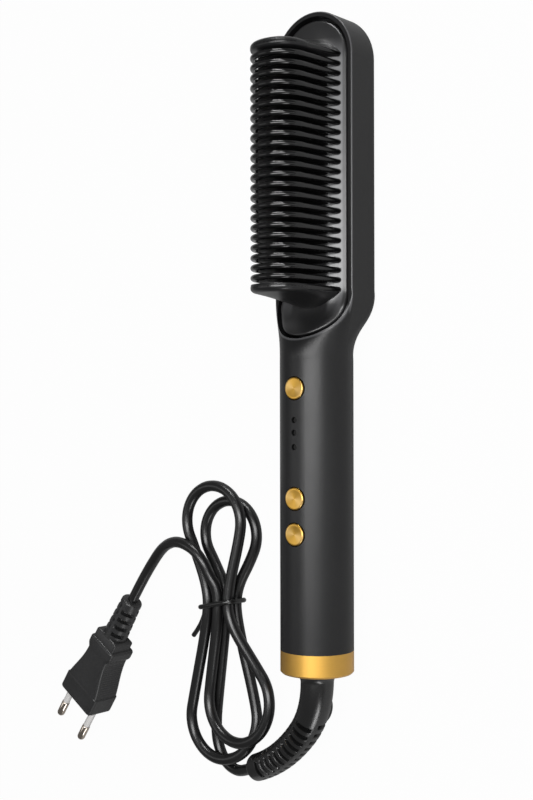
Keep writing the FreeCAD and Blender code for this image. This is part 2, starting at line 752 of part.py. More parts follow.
raised_tray = tray_form.Shape.copy()
raised_tray.translate(Vector(0, 0, size_of("leg_gap")))
caps = [end_cap(hoop_rows[0], -1).cut(raised_tray), end_cap(hoop_rows[-1], 1).cut(raised_tray)]
first_hoop = hoop()
guard_pieces = list(caps)
for row_y in hoop_rows:
    one = first_hoop.copy()
    one.translate(Vector(0, row_y - hoop_rows[0], 0))
    guard_pieces.append(one)
rail_width = size_of("rail_width")
rail_z = size_of("rail_z")
rail_height = size_of("rail_height")
rail_span = hoop_rows[-1] - hoop_rows[0] + rail_width
for side in (1, -1):
    corner = Vector(side * leg_x - rail_width / 2, hoop_rows[0] - rail_width / 2, rail_z)
    guard_pieces.append(Part.makeBox(rail_width, rail_span, rail_height, corner))
for row_y in (hoop_rows[0], hoop_rows[-1]):
    corner = Vector(-leg_x, row_y - rail_width / 2, rail_z)
    guard_pieces.append(Part.makeBox(2 * leg_x, rail_width, rail_height, corner))
keep("comb_guard", formed("comb_guard", guard_pieces[-1].multiFuse(guard_pieces[:-1]).removeSplitter()))

# Heating plate with a fin inside each hoop but the two at the ends, and the heater clamped under it
FLANGE_TOP = "(tray_top - tray_wall - tray_seat)"
PLATE_BOTTOM = f"({FLANGE_TOP} - flange_height)"
HEATER_BOTTOM = f"({PLATE_BOTTOM} - heater_thick)"
MICA_BOTTOM = f"({HEATER_BOTTOM} - mica_thick)"
CLAMP_BOTTOM = f"({MICA_BOTTOM} - clamp_thick)"
flange = block("flange", "flange_width", plate_length, "flange_height", "0", plate_mid, PLATE_BOTTOM)
slab = block("slab", "slab_width", plate_length, f"slab_top - {PLATE_BOTTOM}", "0", plate_mid, PLATE_BOTTOM)
fins = []
for row in range(1, hoop_count - 1):
    mid = f"(first_hoop_y + hoop_pitch * {row})"
    fins.append(block(f"fin_{row}", "fin_width", "fin_thick", "fin_top - fin_width / 2 - fin_foot", "0", mid,
                      "fin_foot"))
    fins.append(rod(f"fin_crown_{row}", "fin_width", "fin_thick", "0", f"{mid} - fin_thick / 2",
                    "fin_top - fin_width / 2", "Y"))
plate_blank = fused("plate_blank", flange, slab, *fins)
clamp_screws = []
plate_holes = []
clamp_holes = []
for index, end in enumerate(("1", "-1"), start=1):
    y = f"{plate_mid} + {end} * (heater_length + clamp_overhang) / 2"
    plate_holes.append(rod(f"plate_hole_{index}", "clamp_screw_dia + 2 * screw_gap", "clamp_screw_grip + 1",
                           "0", y, f"{PLATE_BOTTOM} - 1 + 2 * screw_gap"))
    clamp_holes.append(rod(f"clamp_hole_{index}", "clamp_screw_dia + 4 * screw_gap", "clamp_thick + 2",
                           "0", y, f"{CLAMP_BOTTOM} - 1"))
    shank = rod(f"clamp_shank_{index}", "clamp_screw_dia", f"{PLATE_BOTTOM} + clamp_screw_grip - {CLAMP_BOTTOM}",
                "0", y, CLAMP_BOTTOM)
    head = rod(f"clamp_head_{index}", "clamp_screw_head", "clamp_screw_head_height", "0", y,
               f"{CLAMP_BOTTOM} - clamp_screw_head_height")
    clamp_screws.append(fused(f"clamp_screw_{index}", shank, head))
keep("heating_plate", cut("heating_plate", plate_blank, *plate_holes))
keep("ceramic_heater", block("ceramic_heater", "heater_width", "heater_length", "heater_thick", "0", plate_mid,
                             HEATER_BOTTOM))
keep("insulating_sheet", block("insulating_sheet", "heater_width", "heater_length", "mica_thick", "0", plate_mid,
                               MICA_BOTTOM))
clamp_blank = block("clamp_blank", "clamp_width", "heater_length + 2 * clamp_overhang", "clamp_thick", "0",
                    plate_mid, CLAMP_BOTTOM)
keep("heater_clamp", cut("heater_clamp", clamp_blank, *clamp_holes))
keep("clamp_screws", group("clamp_screws", *clamp_screws))
keep("temperature_sensor", rod("temperature_sensor", "sensor_dia", "sensor_length",
                               "heater_width / 2 + sensor_dia", f"{plate_mid} - sensor_length / 2",
                               f"{PLATE_BOTTOM} - sensor_dia / 2 - seat_gap", "Y"))
keep("thermal_fuse", rod("thermal_fuse", "fuse_dia", "fuse_length", "-heater_width / 2 - fuse_dia / 2 - 1.2",
                         f"{plate_mid} - fuse_length / 2", f"{PLATE_BOTTOM} - fuse_dia / 2 - seat_gap", "Y"))
keep("heat_shield", block("heat_shield", "shield_width", "shield_length", "shield_thick", "0", plate_mid,
                          "shield_z"))

# Control board with its parts
board_blank = block("board_blank", "board_width", "board_length", "board_thick", "0",
                    "board_front_y - board_length / 2", BOARD_BOTTOM)
keep("control_board", cut("control_board", board_blank, *board_holes))
keep("board_screws", group("board_screws", *board_screws))
keep("film_capacitor", block("film_capacitor", "capacitor_width", "capacitor_length", "capacitor_height", "0",
                             "capacitor_y", f"{BOARD_BOTTOM} - capacitor_height"))
keep("triac", block("triac", "triac_width", "triac_length", "triac_height", "0", "triac_y",
                    f"{BOARD_BOTTOM} - triac_height"))
switches = []
for name, y in BUTTONS:
    case = block(f"{name}_switch_case", "switch_side", "switch_side", "switch_height", "0", y, "board_top")
    bore = rod(f"{name}_switch_bore", "plunger_dia + 2 * plunger_gap", "handle_dia / 4", "0", y,
               f"{SWITCH_TOP} - plunger_in - button_travel - plunger_gap")
    switches.append(cut(f"{name}_switch", case, bore))
keep("tact_switches", group("tact_switches", *switches))
leds = [block(f"led_{index}", "led_side", "led_side", "led_height", "0", y, "board_top")
        for index, y in enumerate(LIGHTS, start=1)]
keep("indicator_leds", group("indicator_leds", *leds))
LED_TOP = "(board_top + led_height + led_clear)"
rods = [rod(f"light_rod_{index}", "light_dia", f"handle_dia - light_recess - {LED_TOP}", "0", y, LED_TOP)
        for index, y in enumerate(LIGHTS, start=1)]
bar = block("guide_bar", "guide_bar_width", "light_first_y - light_third_y + guide_bar_width", "guide_bar_height",
            "0", "(light_first_y + light_third_y) / 2", "guide_bar_z")
keep("light_guide", fused("light_guide", bar, *rods))

# Buttons and plungers
FLANGE_FACE = "(handle_dia - button_flange_drop)"
BUTTON_TOP = "(handle_dia + button_proud)"
for name, y in BUTTONS:
    keep(f"button_{name}", turned(f"button_{name}", [
        ("0", f"{SWITCH_TOP} + plunger_out"),
        ("button_stem / 2", f"{SWITCH_TOP} + plunger_out"),
        ("button_stem / 2", f"{FLANGE_FACE} - button_flange_height"),
        ("button_flange / 2", f"{FLANGE_FACE} - button_flange_height"),
        ("button_flange / 2", FLANGE_FACE),
        ("button_dia / 2", FLANGE_FACE),
        ("button_dia / 2", f"{BUTTON_TOP} - button_edge"),
        ("button_dia / 2 - button_edge", BUTTON_TOP),
        ("0", BUTTON_TOP),
    ], "Z", y=y))
    keep(f"plunger_{name}", rod(f"plunger_{name}", "plunger_dia", "plunger_in + plunger_out", "0", y,
                                f"{SWITCH_TOP} - plunger_in"))

# Swivel in the end of the handle
SHOULDER = "(ring_top_y + wall)"
SOCKET_TOP = f"({SPIGOT_END} + socket_length)"
BEARING_TOP = f"({SPIGOT_END} + bearing_length)"
SOCKET_OUTER = f"(({SPIGOT_BORE}) / 2 - seat_gap)"
SOCKET_RIM = "(handle_dia / 2 - wall - seat_gap)"
CORE_START = f"({BEARING_TOP} + clip_thick + 2 * clip_gap)"
COLLAR_TOP = f"({RING_BOTTOM} - collar_gap)"
COLLAR_BOTTOM = f"({RING_BOTTOM} - collar_gap - collar_length)"
SPINDLE_TOP = f"({SOCKET_TOP} - socket_top_wall - spindle_top_gap)"
keep("swivel_socket", turned("swivel_socket", [
    ("spindle_dia / 2 + bearing_gap", SPIGOT_END),
    (SOCKET_OUTER, SPIGOT_END),
    (SOCKET_OUTER, SHOULDER),
    (SOCKET_RIM, SHOULDER),
    (SOCKET_RIM, f"{SHOULDER} + socket_flange"),
    (SOCKET_OUTER, f"{SHOULDER} + socket_flange"),
    (SOCKET_OUTER, SOCKET_TOP),
    ("socket_hole / 2", SOCKET_TOP),
    ("socket_hole / 2", f"{SOCKET_TOP} - socket_top_wall"),
    ("chamber_dia / 2", f"{SOCKET_TOP} - socket_top_wall"),
    ("chamber_dia / 2", BEARING_TOP),
    ("spindle_dia / 2 + bearing_gap", BEARING_TOP),
], "Y", z=AXIS_Z))
keep("swivel_spindle", turned("swivel_spindle", [
    ("spindle_bore / 2", COLLAR_BOTTOM),
    ("collar_dia / 2", COLLAR_BOTTOM),
    ("collar_dia / 2", COLLAR_TOP),
    ("spindle_dia / 2", COLLAR_TOP),
    ("spindle_dia / 2", f"{BEARING_TOP} + clip_gap / 2"),
    ("clip_groove / 2", f"{BEARING_TOP} + clip_gap / 2"),
    ("clip_groove / 2", CORE_START),
    ("spindle_core / 2", CORE_START),
    ("spindle_core / 2", SPINDLE_TOP),
    ("spindle_bore / 2", SPINDLE_TOP),
], "Y", z=AXIS_Z))
keep("retaining_clip", turned("retaining_clip", [
    ("clip_groove / 2 + clip_gap / 2", f"{BEARING_TOP} + clip_gap"),
    ("clip_dia / 2", f"{BEARING_TOP} + clip_gap"),
    ("clip_dia / 2", f"{BEARING_TOP} + clip_gap + clip_thick"),
    ("clip_groove / 2 + clip_gap / 2", f"{BEARING_TOP} + clip_gap + clip_thick"),
], "Y", z=AXIS_Z))
slip_rings = []
contacts = []
for index, side in enumerate(("1", "-1")):
    low = f"({CORE_START} + slip_ring_first + slip_ring_step * {index})"
    slip_rings.append(turned(f"slip_ring_{index + 1}", [
        ("spindle_core / 2 + pin_fit", low),
        ("slip_ring_dia / 2", low),
        ("slip_ring_dia / 2", f"{low} + slip_ring_length"),
        ("spindle_core / 2 + pin_fit", f"{low} + slip_ring_length"),
    ], "Y", z=AXIS_Z))
    inner = "(slip_ring_dia / 2 + contact_gap)"
    outer = "(chamber_dia / 2 - contact_gap)"
    contacts.append(block(f"contact_{index + 1}", f"{outer} - {inner}", "contact_width", "contact_width",
                          f"{side} * ({outer} + {inner}) / 2", f"{low} + slip_ring_length / 2",
                          f"{AXIS_Z} - contact_width / 2"))
keep("slip_rings", group("slip_rings", *slip_rings))
keep("contact_springs", group("contact_springs", *contacts))

# Wires inside the case: down from the board and along under the tray to the heater, or to the swivel
heater_end = number(f"{plate_mid} - heater_length / 2")
heater_z = number(f"{PLATE_BOTTOM} - wire_dia / 2 - wire_clear")
clamp_start = heater_end - size_of("clamp_overhang")
board_z = number(BOARD_BOTTOM)
board_front = size_of("board_front_y") - size_of("pillar_dia") / 2
supply_pad = size_of("supply_pad_y")
socket_top = number(SOCKET_TOP)
axis_z = number(AXIS_Z)
low_z = size_of("shield_z") - size_of("wire_dia") * 1.5
tie_y = size_of("first_hoop_y")
tie_under = size_of("rail_z") - size_of("wire_dia") * 1.5
heater_wires = []
supply_wires = []
for side in (1, -1):
    x = size_of("heater_wire_x") * side
    route = [(x, board_front, board_z), (x, board_front, low_z + 2.5), (x, board_front + 7, low_z),
             (x, tie_y - 10, low_z), (x, tie_y, tie_under), (x, clamp_start - 1.6, heater_z),
             (x, heater_end, heater_z)]
    heater_wires.append(sweep(soft_bends(route, "heater wire"), size_of("wire_dia") / 2))
    x = size_of("supply_wire_x") * side
    route = [(x, supply_pad, board_z), (x, supply_pad, axis_z), (x, socket_top, axis_z)]
    supply_wires.append(sweep(soft_bends(route, "supply wire"), size_of("wire_dia") / 2))
keep("heater_wires", formed("heater_wires", Part.makeCompound(heater_wires)))
keep("supply_wires", formed("supply_wires", Part.makeCompound(supply_wires)))

# Cord boot: it curves to the side and dips towards the table


def boot_station(length):
    """A point on the boot's line and its heading, at a length from the collar."""
    straight = size_of("boot_straight")
    first = size_of("boot_bend_radius")
    second = size_of("boot_sweep_radius")
    bend = math.radians(size_of("boot_bend_angle"))
    whole = bend + math.radians(size_of("boot_sweep_angle"))
    reach = first * (1 - math.cos(bend)) + second * (math.cos(bend) - math.cos(whole))
    dip = math.asin((axis_z - size_of("boot_mouth_z")) / reach)
    forward = min(length, straight)
    turn = min(max(length - straight, 0.0) / first, bend)
    aside = first * (1 - math.cos(turn))
    forward += first * math.sin(turn)
    rest = max(length - straight - first * bend, 0.0)
    last = turn + rest / second
    aside += second * (math.cos(turn) - math.cos(last))
    forward += second * (math.sin(last) - math.sin(turn))
    away = Vector(-math.cos(dip), 0, -math.sin(dip))
    start = Vector(0, number(COLLAR_BOTTOM), axis_z)
    point = start + away * aside + Vector(0, -forward, 0)
    heading = away * math.sin(last) + Vector(0, -math.cos(last), 0)
    return point, heading


boot_length = number("boot_straight + boot_bend_radius * boot_bend_angle * pi / 180"
                     " + boot_sweep_radius * boot_sweep_angle * pi / 180").real
mouth, mouth_heading = boot_station(boot_length)
boot_radius = size_of("boot_dia") / 2
mouth_radius = size_of("boot_mouth_dia") / 2
rings = []
for step in range(13):
    share = step / 12
    point, heading = boot_station(boot_length * share)
    radius = boot_radius + (mouth_radius - boot_radius) * share
    rings.append(Part.Wire(Part.Circle(point, heading, radius).toShape()))
boot = Part.makeLoft(rings, True, False)
loop_y = size_of("hang_loop_y")
loop_x = boot_station(number(COLLAR_BOTTOM) - loop_y)[0].x
loop = Part.makeTorus(size_of("hang_loop_radius"), size_of("hang_loop_wire") / 2,
                      Vector(loop_x, loop_y, size_of("hang_loop_z")), Vector(1, 0, 0))
boot = boot.fuse(loop)
cutters = [Part.makeCylinder(size_of("boot_socket_dia") / 2, size_of("boot_socket_depth") + 1,
                             mouth + mouth_heading, mouth_heading * -1.0)]
for row in range(int(size_of("boot_slot_rows"))):
    length = size_of("boot_slot_start") + size_of("boot_slot_step") * row
    point, heading = boot_station(length)
    radius = boot_radius + (mouth_radius - boot_radius) * length / boot_length
    beside = heading.cross(Vector(0, 0, 1)).normalize()
    above = beside.cross(heading).normalize()
    for outward in ((beside, beside * -1) if row % 2 else (above, above * -1)):
        across = heading.cross(outward)
        half_length = size_of("boot_slot_length") / 2
        half_width = size_of("boot_slot_width") / 2
        floor = radius - size_of("boot_slot_depth")
        corner = [point + outward * floor + across * (half_length * a) + heading * (half_width * b)
                  for a, b in ((-1, -1), (1, -1), (1, 1), (-1, 1))]
        face = Part.Face(Part.makePolygon(corner + corner[:1]))
        cutters.append(face.extrude(outward * (size_of("boot_slot_depth") + 2)))
keep("cord_boot", formed("cord_boot", boot.cut(cutters)))

# Mains cord: lead, hank, tail


def compare_tube(name, tube, edges, radius):
    """Print how a tube's volume compares with its section times its length."""
    length = sum(edge.Length for edge in edges)
    ideal = math.pi * radius * radius * length
    print(f"{name}: length {length:.1f} mm, volume {tube.Volume:.0f}, section times length {ideal:.0f}")


cord_radius = size_of("cord_dia") / 2
depth = size_of("boot_socket_depth")
lead_points = [mouth - mouth_heading * depth, mouth + mouth_heading * depth]
lead_points += [Vector(*point) for point in LEAD_ROUTE]
lead_points.append(Vector(*LEAD_END))
lead_edges = soft_bends(lead_points, "lead")
lead = sweep(lead_edges, cord_radius)
compare_tube("lead", lead, lead_edges, cord_radius)
keep("cord_lead", formed("cord_lead", lead))

layer_step = size_of("layer_step")
table_z = cord_radius + size_of("floor_gap")
waist_z = table_z + size_of("waist_lift")
waist_y = size_of("waist_y")


def waist_strand(place_across, layer, up):
    """The point and heading of one strand where the tie holds the hank."""
    x = size_of("waist_x") + size_of("waist_step") * place_across
    return Vector(x, waist_y, waist_z + layer_step * layer), Vector(0, up, 0)


def loop_stations(loop, enter, leave, up):
    """Where a loop leaves its strand, its far end, and where it comes back to a strand."""
    centre = Vector(loop["x"], loop["y"], 0)
    heights = [table_z + layer_step * layer for layer in loop["layers"]]
    normals = []
    for strand, side in ((enter, -up), (leave, up)):
        shift = centre - Vector(strand.x, strand.y, 0)
        flank = (shift.dot(shift) - loop["radius"] ** 2) / (2 * (loop["radius"] + side * shift.x))
        normals.append((Vector(strand.x + side * flank, strand.y, 0) - centre).normalize())
    normals.insert(1, Vector(0, up, 0))
    stations = []
    for normal, height in zip(normals, heights):
        point = centre + normal * loop["radius"]
        stations.append((Vector(point.x, point.y, height), Vector(normal.y, -normal.x, 0)))
    return stations


hank_start = Vector(*LEAD_END)
start_heading = (lead_points[-1] - lead_points[-2]).normalize()
tail_start = Vector(*TAIL_START)
tail_heading = (Vector(*TAIL_ROUTE[0]) - tail_start).normalize()
run = size_of("cord_dia")
stations = [(hank_start, start_heading), (hank_start + start_heading * run, start_heading),
            waist_strand(0, 0.0, 1)]
up = 1
for loop in HANK_LOOPS:
    leave = waist_strand(loop["strand"], loop["layer"], -up)
    stations += loop_stations(loop, stations[-1][0], leave[0], up)
    stations.append(leave)
    up = -up
stations += [(tail_start - tail_heading * run, tail_heading), (tail_start, tail_heading)]
hank_edges = []
for (start, heading), (end, arrival) in zip(stations, stations[1:]):
    if (end - start).cross(heading).Length < 1e-6 and heading.dot(arrival) > 1 - 1e-9:
        hank_edges.append(Part.LineSegment(start, end).toShape())
    else:
        hank_edges += biarc(start, heading, end, arrival)
arc_radii = [edge.Curve.Radius for edge in hank_edges if hasattr(edge.Curve, "Radius")]
print("hank: least arc radius", round(min(arc_radii), 1))
hank = sweep(hank_edges, cord_radius)
compare_tube("hank", hank, hank_edges, cord_radius)
keep("cord_hank", formed("cord_hank", hank))

plug_axis = Rotation(Vector(0, 0, 1), size_of("plug_turn")).multVec(Vector(0, 1, 0))
plug_entry = Vector(size_of("plug_x"), size_of("plug_y"), size_of("plug_thick") / 2)
tail_points = [tail_start] + [Vector(*point) for point in TAIL_ROUTE]
tail_points += [plug_entry + plug_axis * 9.5, plug_entry]
tail_edges = soft_bends(tail_points, "tail")
tail = sweep(tail_edges, cord_radius)
compare_tube("tail", tail, tail_edges, cord_radius)
keep("cord_tail", formed("cord_tail", tail))

# Least gap between stretches of the cord that are not neighbours
trail = []
for edge in lead_edges + hank_edges + tail_edges:
    trail += edge.discretize(max(2, int(edge.Length / 1.5)))[:-1]
travelled = [0.0]
for before, after in zip(trail, trail[1:]):
    travelled.append(travelled[-1] + (after - before).Length)
least = 1e9
for i in range(len(trail)):
    for j in range(i + 1, len(trail)):
        if travelled[j] - travelled[i] > 6 * size_of("cord_dia"):
            gap = (trail[j] - trail[i]).Length - size_of("cord_dia")
            if gap < least:
                least, where = gap, (trail[i], trail[j])
print(f"cord: least gap to itself {least:.2f} mm at", where)
print(f"cord: whole length {travelled[-1]:.0f} mm, lowest centre {min(point.z for point in trail):.2f}")

# Wire tie round the waist of the hank, with its two ends twisted together
tie_radius = size_of("tie_dia") / 2
tie_clear = cord_radius + size_of("tie_gap") + tie_radius
left = size_of("waist_x") - size_of("waist_step") - tie_clear
right = size_of("waist_x") + size_of("waist_step") + tie_clear
low = waist_z - tie_clear
high = waist_z + layer_step + tie_clear
bend = size_of("tie_corner")
lean = bend * (1 - math.sqrt(0.5))
ring = []
for x, z, dx, dz in ((left, low, 1, 1), (right, low, -1, 1), (right, high, -1, -1), (left, high, 1, -1)):
    along = Vector(x + dx * bend, waist_y, z)
    aside = Vector(x, waist_y, z + dz * bend)
    middle = Vector(x + dx * lean, waist_y, z + dz * lean)
    ring.append((aside, middle, along) if dx == dz else (along, middle, aside))
tie_edges = []
for index, spots in enumerate(ring):
    tie_edges.append(Part.Arc(*spots).toShape())
    tie_edges.append(Part.LineSegment(spots[2], ring[(index + 1) % 4][0]).toShape())
tie = sweep(tie_edges[-1:] + tie_edges[:-1], tie_radius)
ends = [
    [(left, waist_y, 6.0), (left - 2.6, waist_y - 3.6, 4.4), (left - 6.0, waist_y - 6.4, 2.4),
     (left - 10.4, waist_y - 8.6, 1.0)],
    [(left, waist_y, 7.4), (left - 1.8, waist_y - 5.0, 5.6), (left - 1.6, waist_y - 9.0, 2.6),
     (left + 0.6, waist_y - 11.4, 1.0)],
]
for route in ends:
    tie = tie.fuse(sweep(soft_bends(route, "tie end"), tie_radius))
keep("cord_tie", formed("cord_tie", tie))

# Plug: its own frame has Y towards the cord, with the cord's end at the origin
PLUG_Z = "plug_thick / 2"
COLLAR_END = "(-relief_length - plug_collar_length)"
PLUG_FACE = f"({COLLAR_END} - plug_length)"
GRIP_Y = f"({PLUG_FACE} + plug_lip + sqrt(grip_radius ^ 2 - (grip_radius - grip_depth) ^ 2))"


def on_table(item):
    """Turn a piece of the plug to the way that it lies."""
    item.Placement = Placement(Vector(), Rotation(Vector(0, 0, 1), size_of("plug_turn")))
    place(item, "plug_x", "plug_y")
    return item


body_block = block("plug_block", "plug_width", "plug_length", "plug_thick", "0",
                   f"{COLLAR_END} - plug_length / 2", "0")
collar_block = block("plug_collar", "collar_width", "plug_collar_length + 1", "plug_collar_thick", "0",
                     f"{COLLAR_END} + plug_collar_length / 2 - 0.5", f"{PLUG_Z} - plug_collar_thick / 2")
plug_cuts = []
pins = []
sleeves = []
for index, side in enumerate(("1", "-1"), start=1):
    plug_cuts.append(rod(f"grip_{index}", "2 * grip_radius", "plug_thick + 2",
                         f"{side} * (plug_width / 2 + grip_radius - grip_depth)", GRIP_Y, "-1"))
    x = f"{side} * pin_spacing / 2"
    plug_cuts.append(rod(f"pin_hole_{index}", "pin_core_dia + 2 * pin_fit", "pin_root + 1", x,
                         f"{PLUG_FACE} - 1", PLUG_Z, "Y"))
    sleeve_end = f"({PLUG_FACE} - pin_sleeve_length)"
    pin_end = f"({PLUG_FACE} - pin_length)"
    pins.append(turned(f"pin_{index}", [
        ("0", f"{PLUG_FACE} + pin_root"),
        ("pin_core_dia / 2", f"{PLUG_FACE} + pin_root"),
        ("pin_core_dia / 2", sleeve_end),
        ("pin_dia / 2", sleeve_end),
        ("pin_dia / 2", f"{pin_end} + pin_nose"),
        ("pin_dia / 2 - pin_nose", pin_end),
        ("0", pin_end),
    ], "Y", x=x, z=PLUG_Z))
    sleeves.append(turned(f"sleeve_{index}", [
        ("pin_core_dia / 2 + pin_fit", PLUG_FACE),
        ("pin_sleeve_dia / 2", PLUG_FACE),
        ("pin_sleeve_dia / 2", sleeve_end),
        ("pin_core_dia / 2 + pin_fit", sleeve_end),
    ], "Y", x=x, z=PLUG_Z))
keep("plug_body", on_table(cut("plug_body", fused("plug_blank", body_block, collar_block), *plug_cuts)))
keep("plug_pins", on_table(group("plug_pins", *pins)))
keep("pin_sleeves", on_table(group("pin_sleeves", *sleeves)))
relief_points = [("0", "-relief_length"), ("relief_dia / 2", "-relief_length")]
ring_step = "(relief_length / relief_rings)"
for index in range(int(size_of("relief_rings"))):
    high = f"(-relief_length + {ring_step} * {index + 1})"
    wide = f"(relief_dia + (relief_tip_dia - relief_dia) * {index + 1} / relief_rings) / 2"
    next_wide = f"(relief_dia + (relief_tip_dia - relief_dia) * {index + 1.3} / relief_rings) / 2"
    if index + 1 == int(size_of("relief_rings")):
        relief_points += [(wide, "0"), ("0", "0")]
        break
    relief_points += [(wide, f"{high} - relief_gap_length"), ("relief_core_dia / 2", f"{high} - relief_gap_length"),
                      ("relief_core_dia / 2", high), (next_wide, high)]
relief = group("plug_relief", turned("relief", relief_points, "Y", z=PLUG_Z))
keep("plug_relief", on_table(relief))

# Check every object, then write one file for each sub-part
doc.recompute()
for item in doc.Objects:
    if "Invalid" in item.State or "Error" in item.State:
        raise RuntimeError(f"{item.Name} was not built: {item.State}")
    if hasattr(item, "Shape") and item in nodes and (item.Shape.isNull() or not item.Shape.isValid()):
        raise RuntimeError(f"{item.Name} has a bad shape")
os.makedirs("parts", exist_ok=True)
for item in nodes:
    box = item.Shape.BoundBox
    print(f"{item.Label}: {len(item.Shape.Solids)} solid, {item.Shape.Volume:.1f} mm3, "
          f"X {box.XMin:.1f} {box.XMax:.1f} Y {box.YMin:.1f} {box.YMax:.1f} Z {box.ZMin:.1f} {box.ZMax:.1f}")
    item.Shape.exportStep(f"parts/{item.Label}.step")
print(len(nodes), "sub-parts")
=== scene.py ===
"""Looks of a hair straightening brush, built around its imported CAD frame."""

import math
from functools import cache

import bmesh
import bpy
from bpy.props import FloatProperty, FloatVectorProperty, IntProperty, PointerProperty
from mathutils import Matrix, Vector
from mathutils.bvhtree import BVHTree


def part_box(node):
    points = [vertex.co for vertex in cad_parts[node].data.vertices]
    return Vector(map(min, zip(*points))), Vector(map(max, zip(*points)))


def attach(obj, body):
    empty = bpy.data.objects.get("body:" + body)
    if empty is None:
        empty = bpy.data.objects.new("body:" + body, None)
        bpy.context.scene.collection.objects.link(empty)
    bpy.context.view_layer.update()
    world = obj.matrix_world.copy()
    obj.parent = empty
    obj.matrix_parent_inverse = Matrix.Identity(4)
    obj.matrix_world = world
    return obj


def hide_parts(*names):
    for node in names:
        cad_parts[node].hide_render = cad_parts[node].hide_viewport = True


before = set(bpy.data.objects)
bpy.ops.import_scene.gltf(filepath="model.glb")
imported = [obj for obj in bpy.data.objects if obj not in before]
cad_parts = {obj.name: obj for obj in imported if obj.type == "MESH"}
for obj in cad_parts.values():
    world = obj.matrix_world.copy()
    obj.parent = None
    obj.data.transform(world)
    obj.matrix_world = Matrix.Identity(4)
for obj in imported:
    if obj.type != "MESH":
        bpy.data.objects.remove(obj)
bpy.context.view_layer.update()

bl_info = {
    "name": "Hair straightening brush",
    "version": (1, 0, 0),
    "blender": (4, 5, 0),
    "location": "View3D > Sidebar > Brush",
    "description": "Builds the pieces, finishes and stage of a hair straightening brush",
    "category": "Object",
}

MM = 0.001

# The camera, as fitted to the photograph: angles, metres from its target, and the focal length in pixels
VIEW_TURN, VIEW_YAW, VIEW_PITCH, VIEW_ROLL = (math.radians(angle) for angle in (37.193, 2.2298, -0.3207, -0.1087))
VIEW_DISTANCE = 0.560
VIEW_TARGET = Vector((0, -0.027317, 0.016))
FOCAL_PIXELS, IMAGE_HEIGHT, SENSOR = 1287.98, 800.0, 36.0

# Lamps: place, the spot that each looks at, width and length in metres, and watts
LAMPS = {
    "key softbox": ((0.42, 0.08, 1.06), (0.0, 0.0, 0.02), (0.34, 1.10), 13.0),
    "head strip": ((0.08, 1.05, 0.43), (0.0, 0.08, 0.04), (0.55, 0.05), 6.0),
    "right strip": ((0.95, -0.10, 0.36), (0.0, -0.05, 0.02), (0.22, 0.90), 0.9),
    "low strip": ((0.45, -0.85, 0.30), (-0.14, -0.17, 0.0), (0.50, 0.20), 2.2),
    "left card": ((-0.62, -0.08, 0.84), (0.0, -0.05, 0.02), (0.30, 0.50), 0.6),
}
FLOOR_REACH, FLOOR_TONE, FLOOR_GLOW, WORLD_LIGHT = 4, 0.42, 0.97, 0.15

# The cord's route, in millimetres: from the boot's mouth to the hank, and from the hank to the plug
LEAD_ROUTE = [
    (-37.8, -191.4, 7.8), (-47.0, -194.8, 5.7), (-56.5, -198.2, 3.6), (-64.8, -195.2, 2.75), (-69.4, -187.6, 2.7),
    (-70.5, -178.4, 2.7), (-69.8, -169.2, 2.7),
]
TAIL_ROUTE = [
    (-66.4, -106.0, 12.6), (-68.4, -99.8, 14.1), (-73.0, -94.6, 15.0), (-79.8, -91.8, 15.0), (-88.0, -91.4, 13.7),
    (-97.6, -95.2, 11.2), (-106.8, -104.2, 9.4), (-114.8, -114.6, 9.0), (-120.4, -123.1, 9.0),
]
# The hank's loops in the order of the cord: centre, radius, layers going in, at the end and coming out,
# then the place and layer of the strand at the waist that follows
HANK_LOOPS = [
    (-61.2, -87.4, 16.4, (0.0, 0.0, 0.0), 1, 0.0),
    (-62.6, -174.0, 18.6, (0.0, 1.05, 1.0), -1, 1.0),
    (-66.8, -81.2, 17.2, (1.0, 1.0, 1.0), 1, 1.0),
    (-50.4, -163.4, 19.2, (1.0, 1.6, 1.0), 0, 1.0),
]
LOOP_POINTS, LOOP_SWELL = 9, 1.015
HANK_TABLE, LAYER_STEP = 2.7, 5.9
WAIST_X, WAIST_Y, WAIST_LIFT, WAIST_RUN, STRAND_STEP = -62.4, -119.6, 4.6, 7, 6.2

# The tie's route: the side of the hank that a point is counted from (0 left, 1 right), its place from there and
# along the brush, and its height
TIE_SIDES, TIE_SLANT = (-72.6, -52.2), 0.22
TIE_ROUTE = [
    (0, -13.6, -13.0, 1.4), (0, -8.4, -9.4, 2.8), (0, -3.4, -4.2, 5.0), (0, -0.6, -0.4, 6.6), (0, 0.2, 0.2, 10.5),
    (0, 1.4, 0.2, 13.4), (0, 5.0, 0.2, 14.9), (1, -5.0, 0.4, 14.9), (1, -1.4, 0.3, 13.4), (1, 0.2, 0.2, 10.5),
    (1, 0.2, 0.0, 4.6), (1, -1.4, 0.0, 1.7), (1, -5.0, 0.0, 1.2), (0, 5.0, 0.0, 1.2), (0, 1.4, 0.0, 1.7),
    (0, 0.0, -0.4, 4.0), (0, -0.4, -1.4, 6.6), (0, -1.6, -4.4, 6.4), (0, -2.2, -7.6, 3.6), (0, 0.6, -11.4, 1.3),
]

# The boot's line, in millimetres: where it leaves the collar and ends, its straight, and the radii and angles of its
# two bends; the sizes of its slots are in metres
COLLAR_Y, COLLAR_Z, MOUTH_Z = -144.0, 16.0, 6.75
BOOT_STRAIGHT, FIRST_RADIUS, SECOND_RADIUS = 2.0, 36.0, 85.0
FIRST_BEND, SECOND_BEND = math.radians(42), math.radians(28)
BOOT_POINTS = 72
BOOT_SLOTS = {"Rows": 23, "First": 0.0196, "Step": 0.0020, "Arc": 0.0080, "Depth": 0.0034, "Soft": 0.00016,
              "Lip": 0.0012, "Flare": 0.0010, "Twist": 0.035, "Around": 96, "Along": 420}

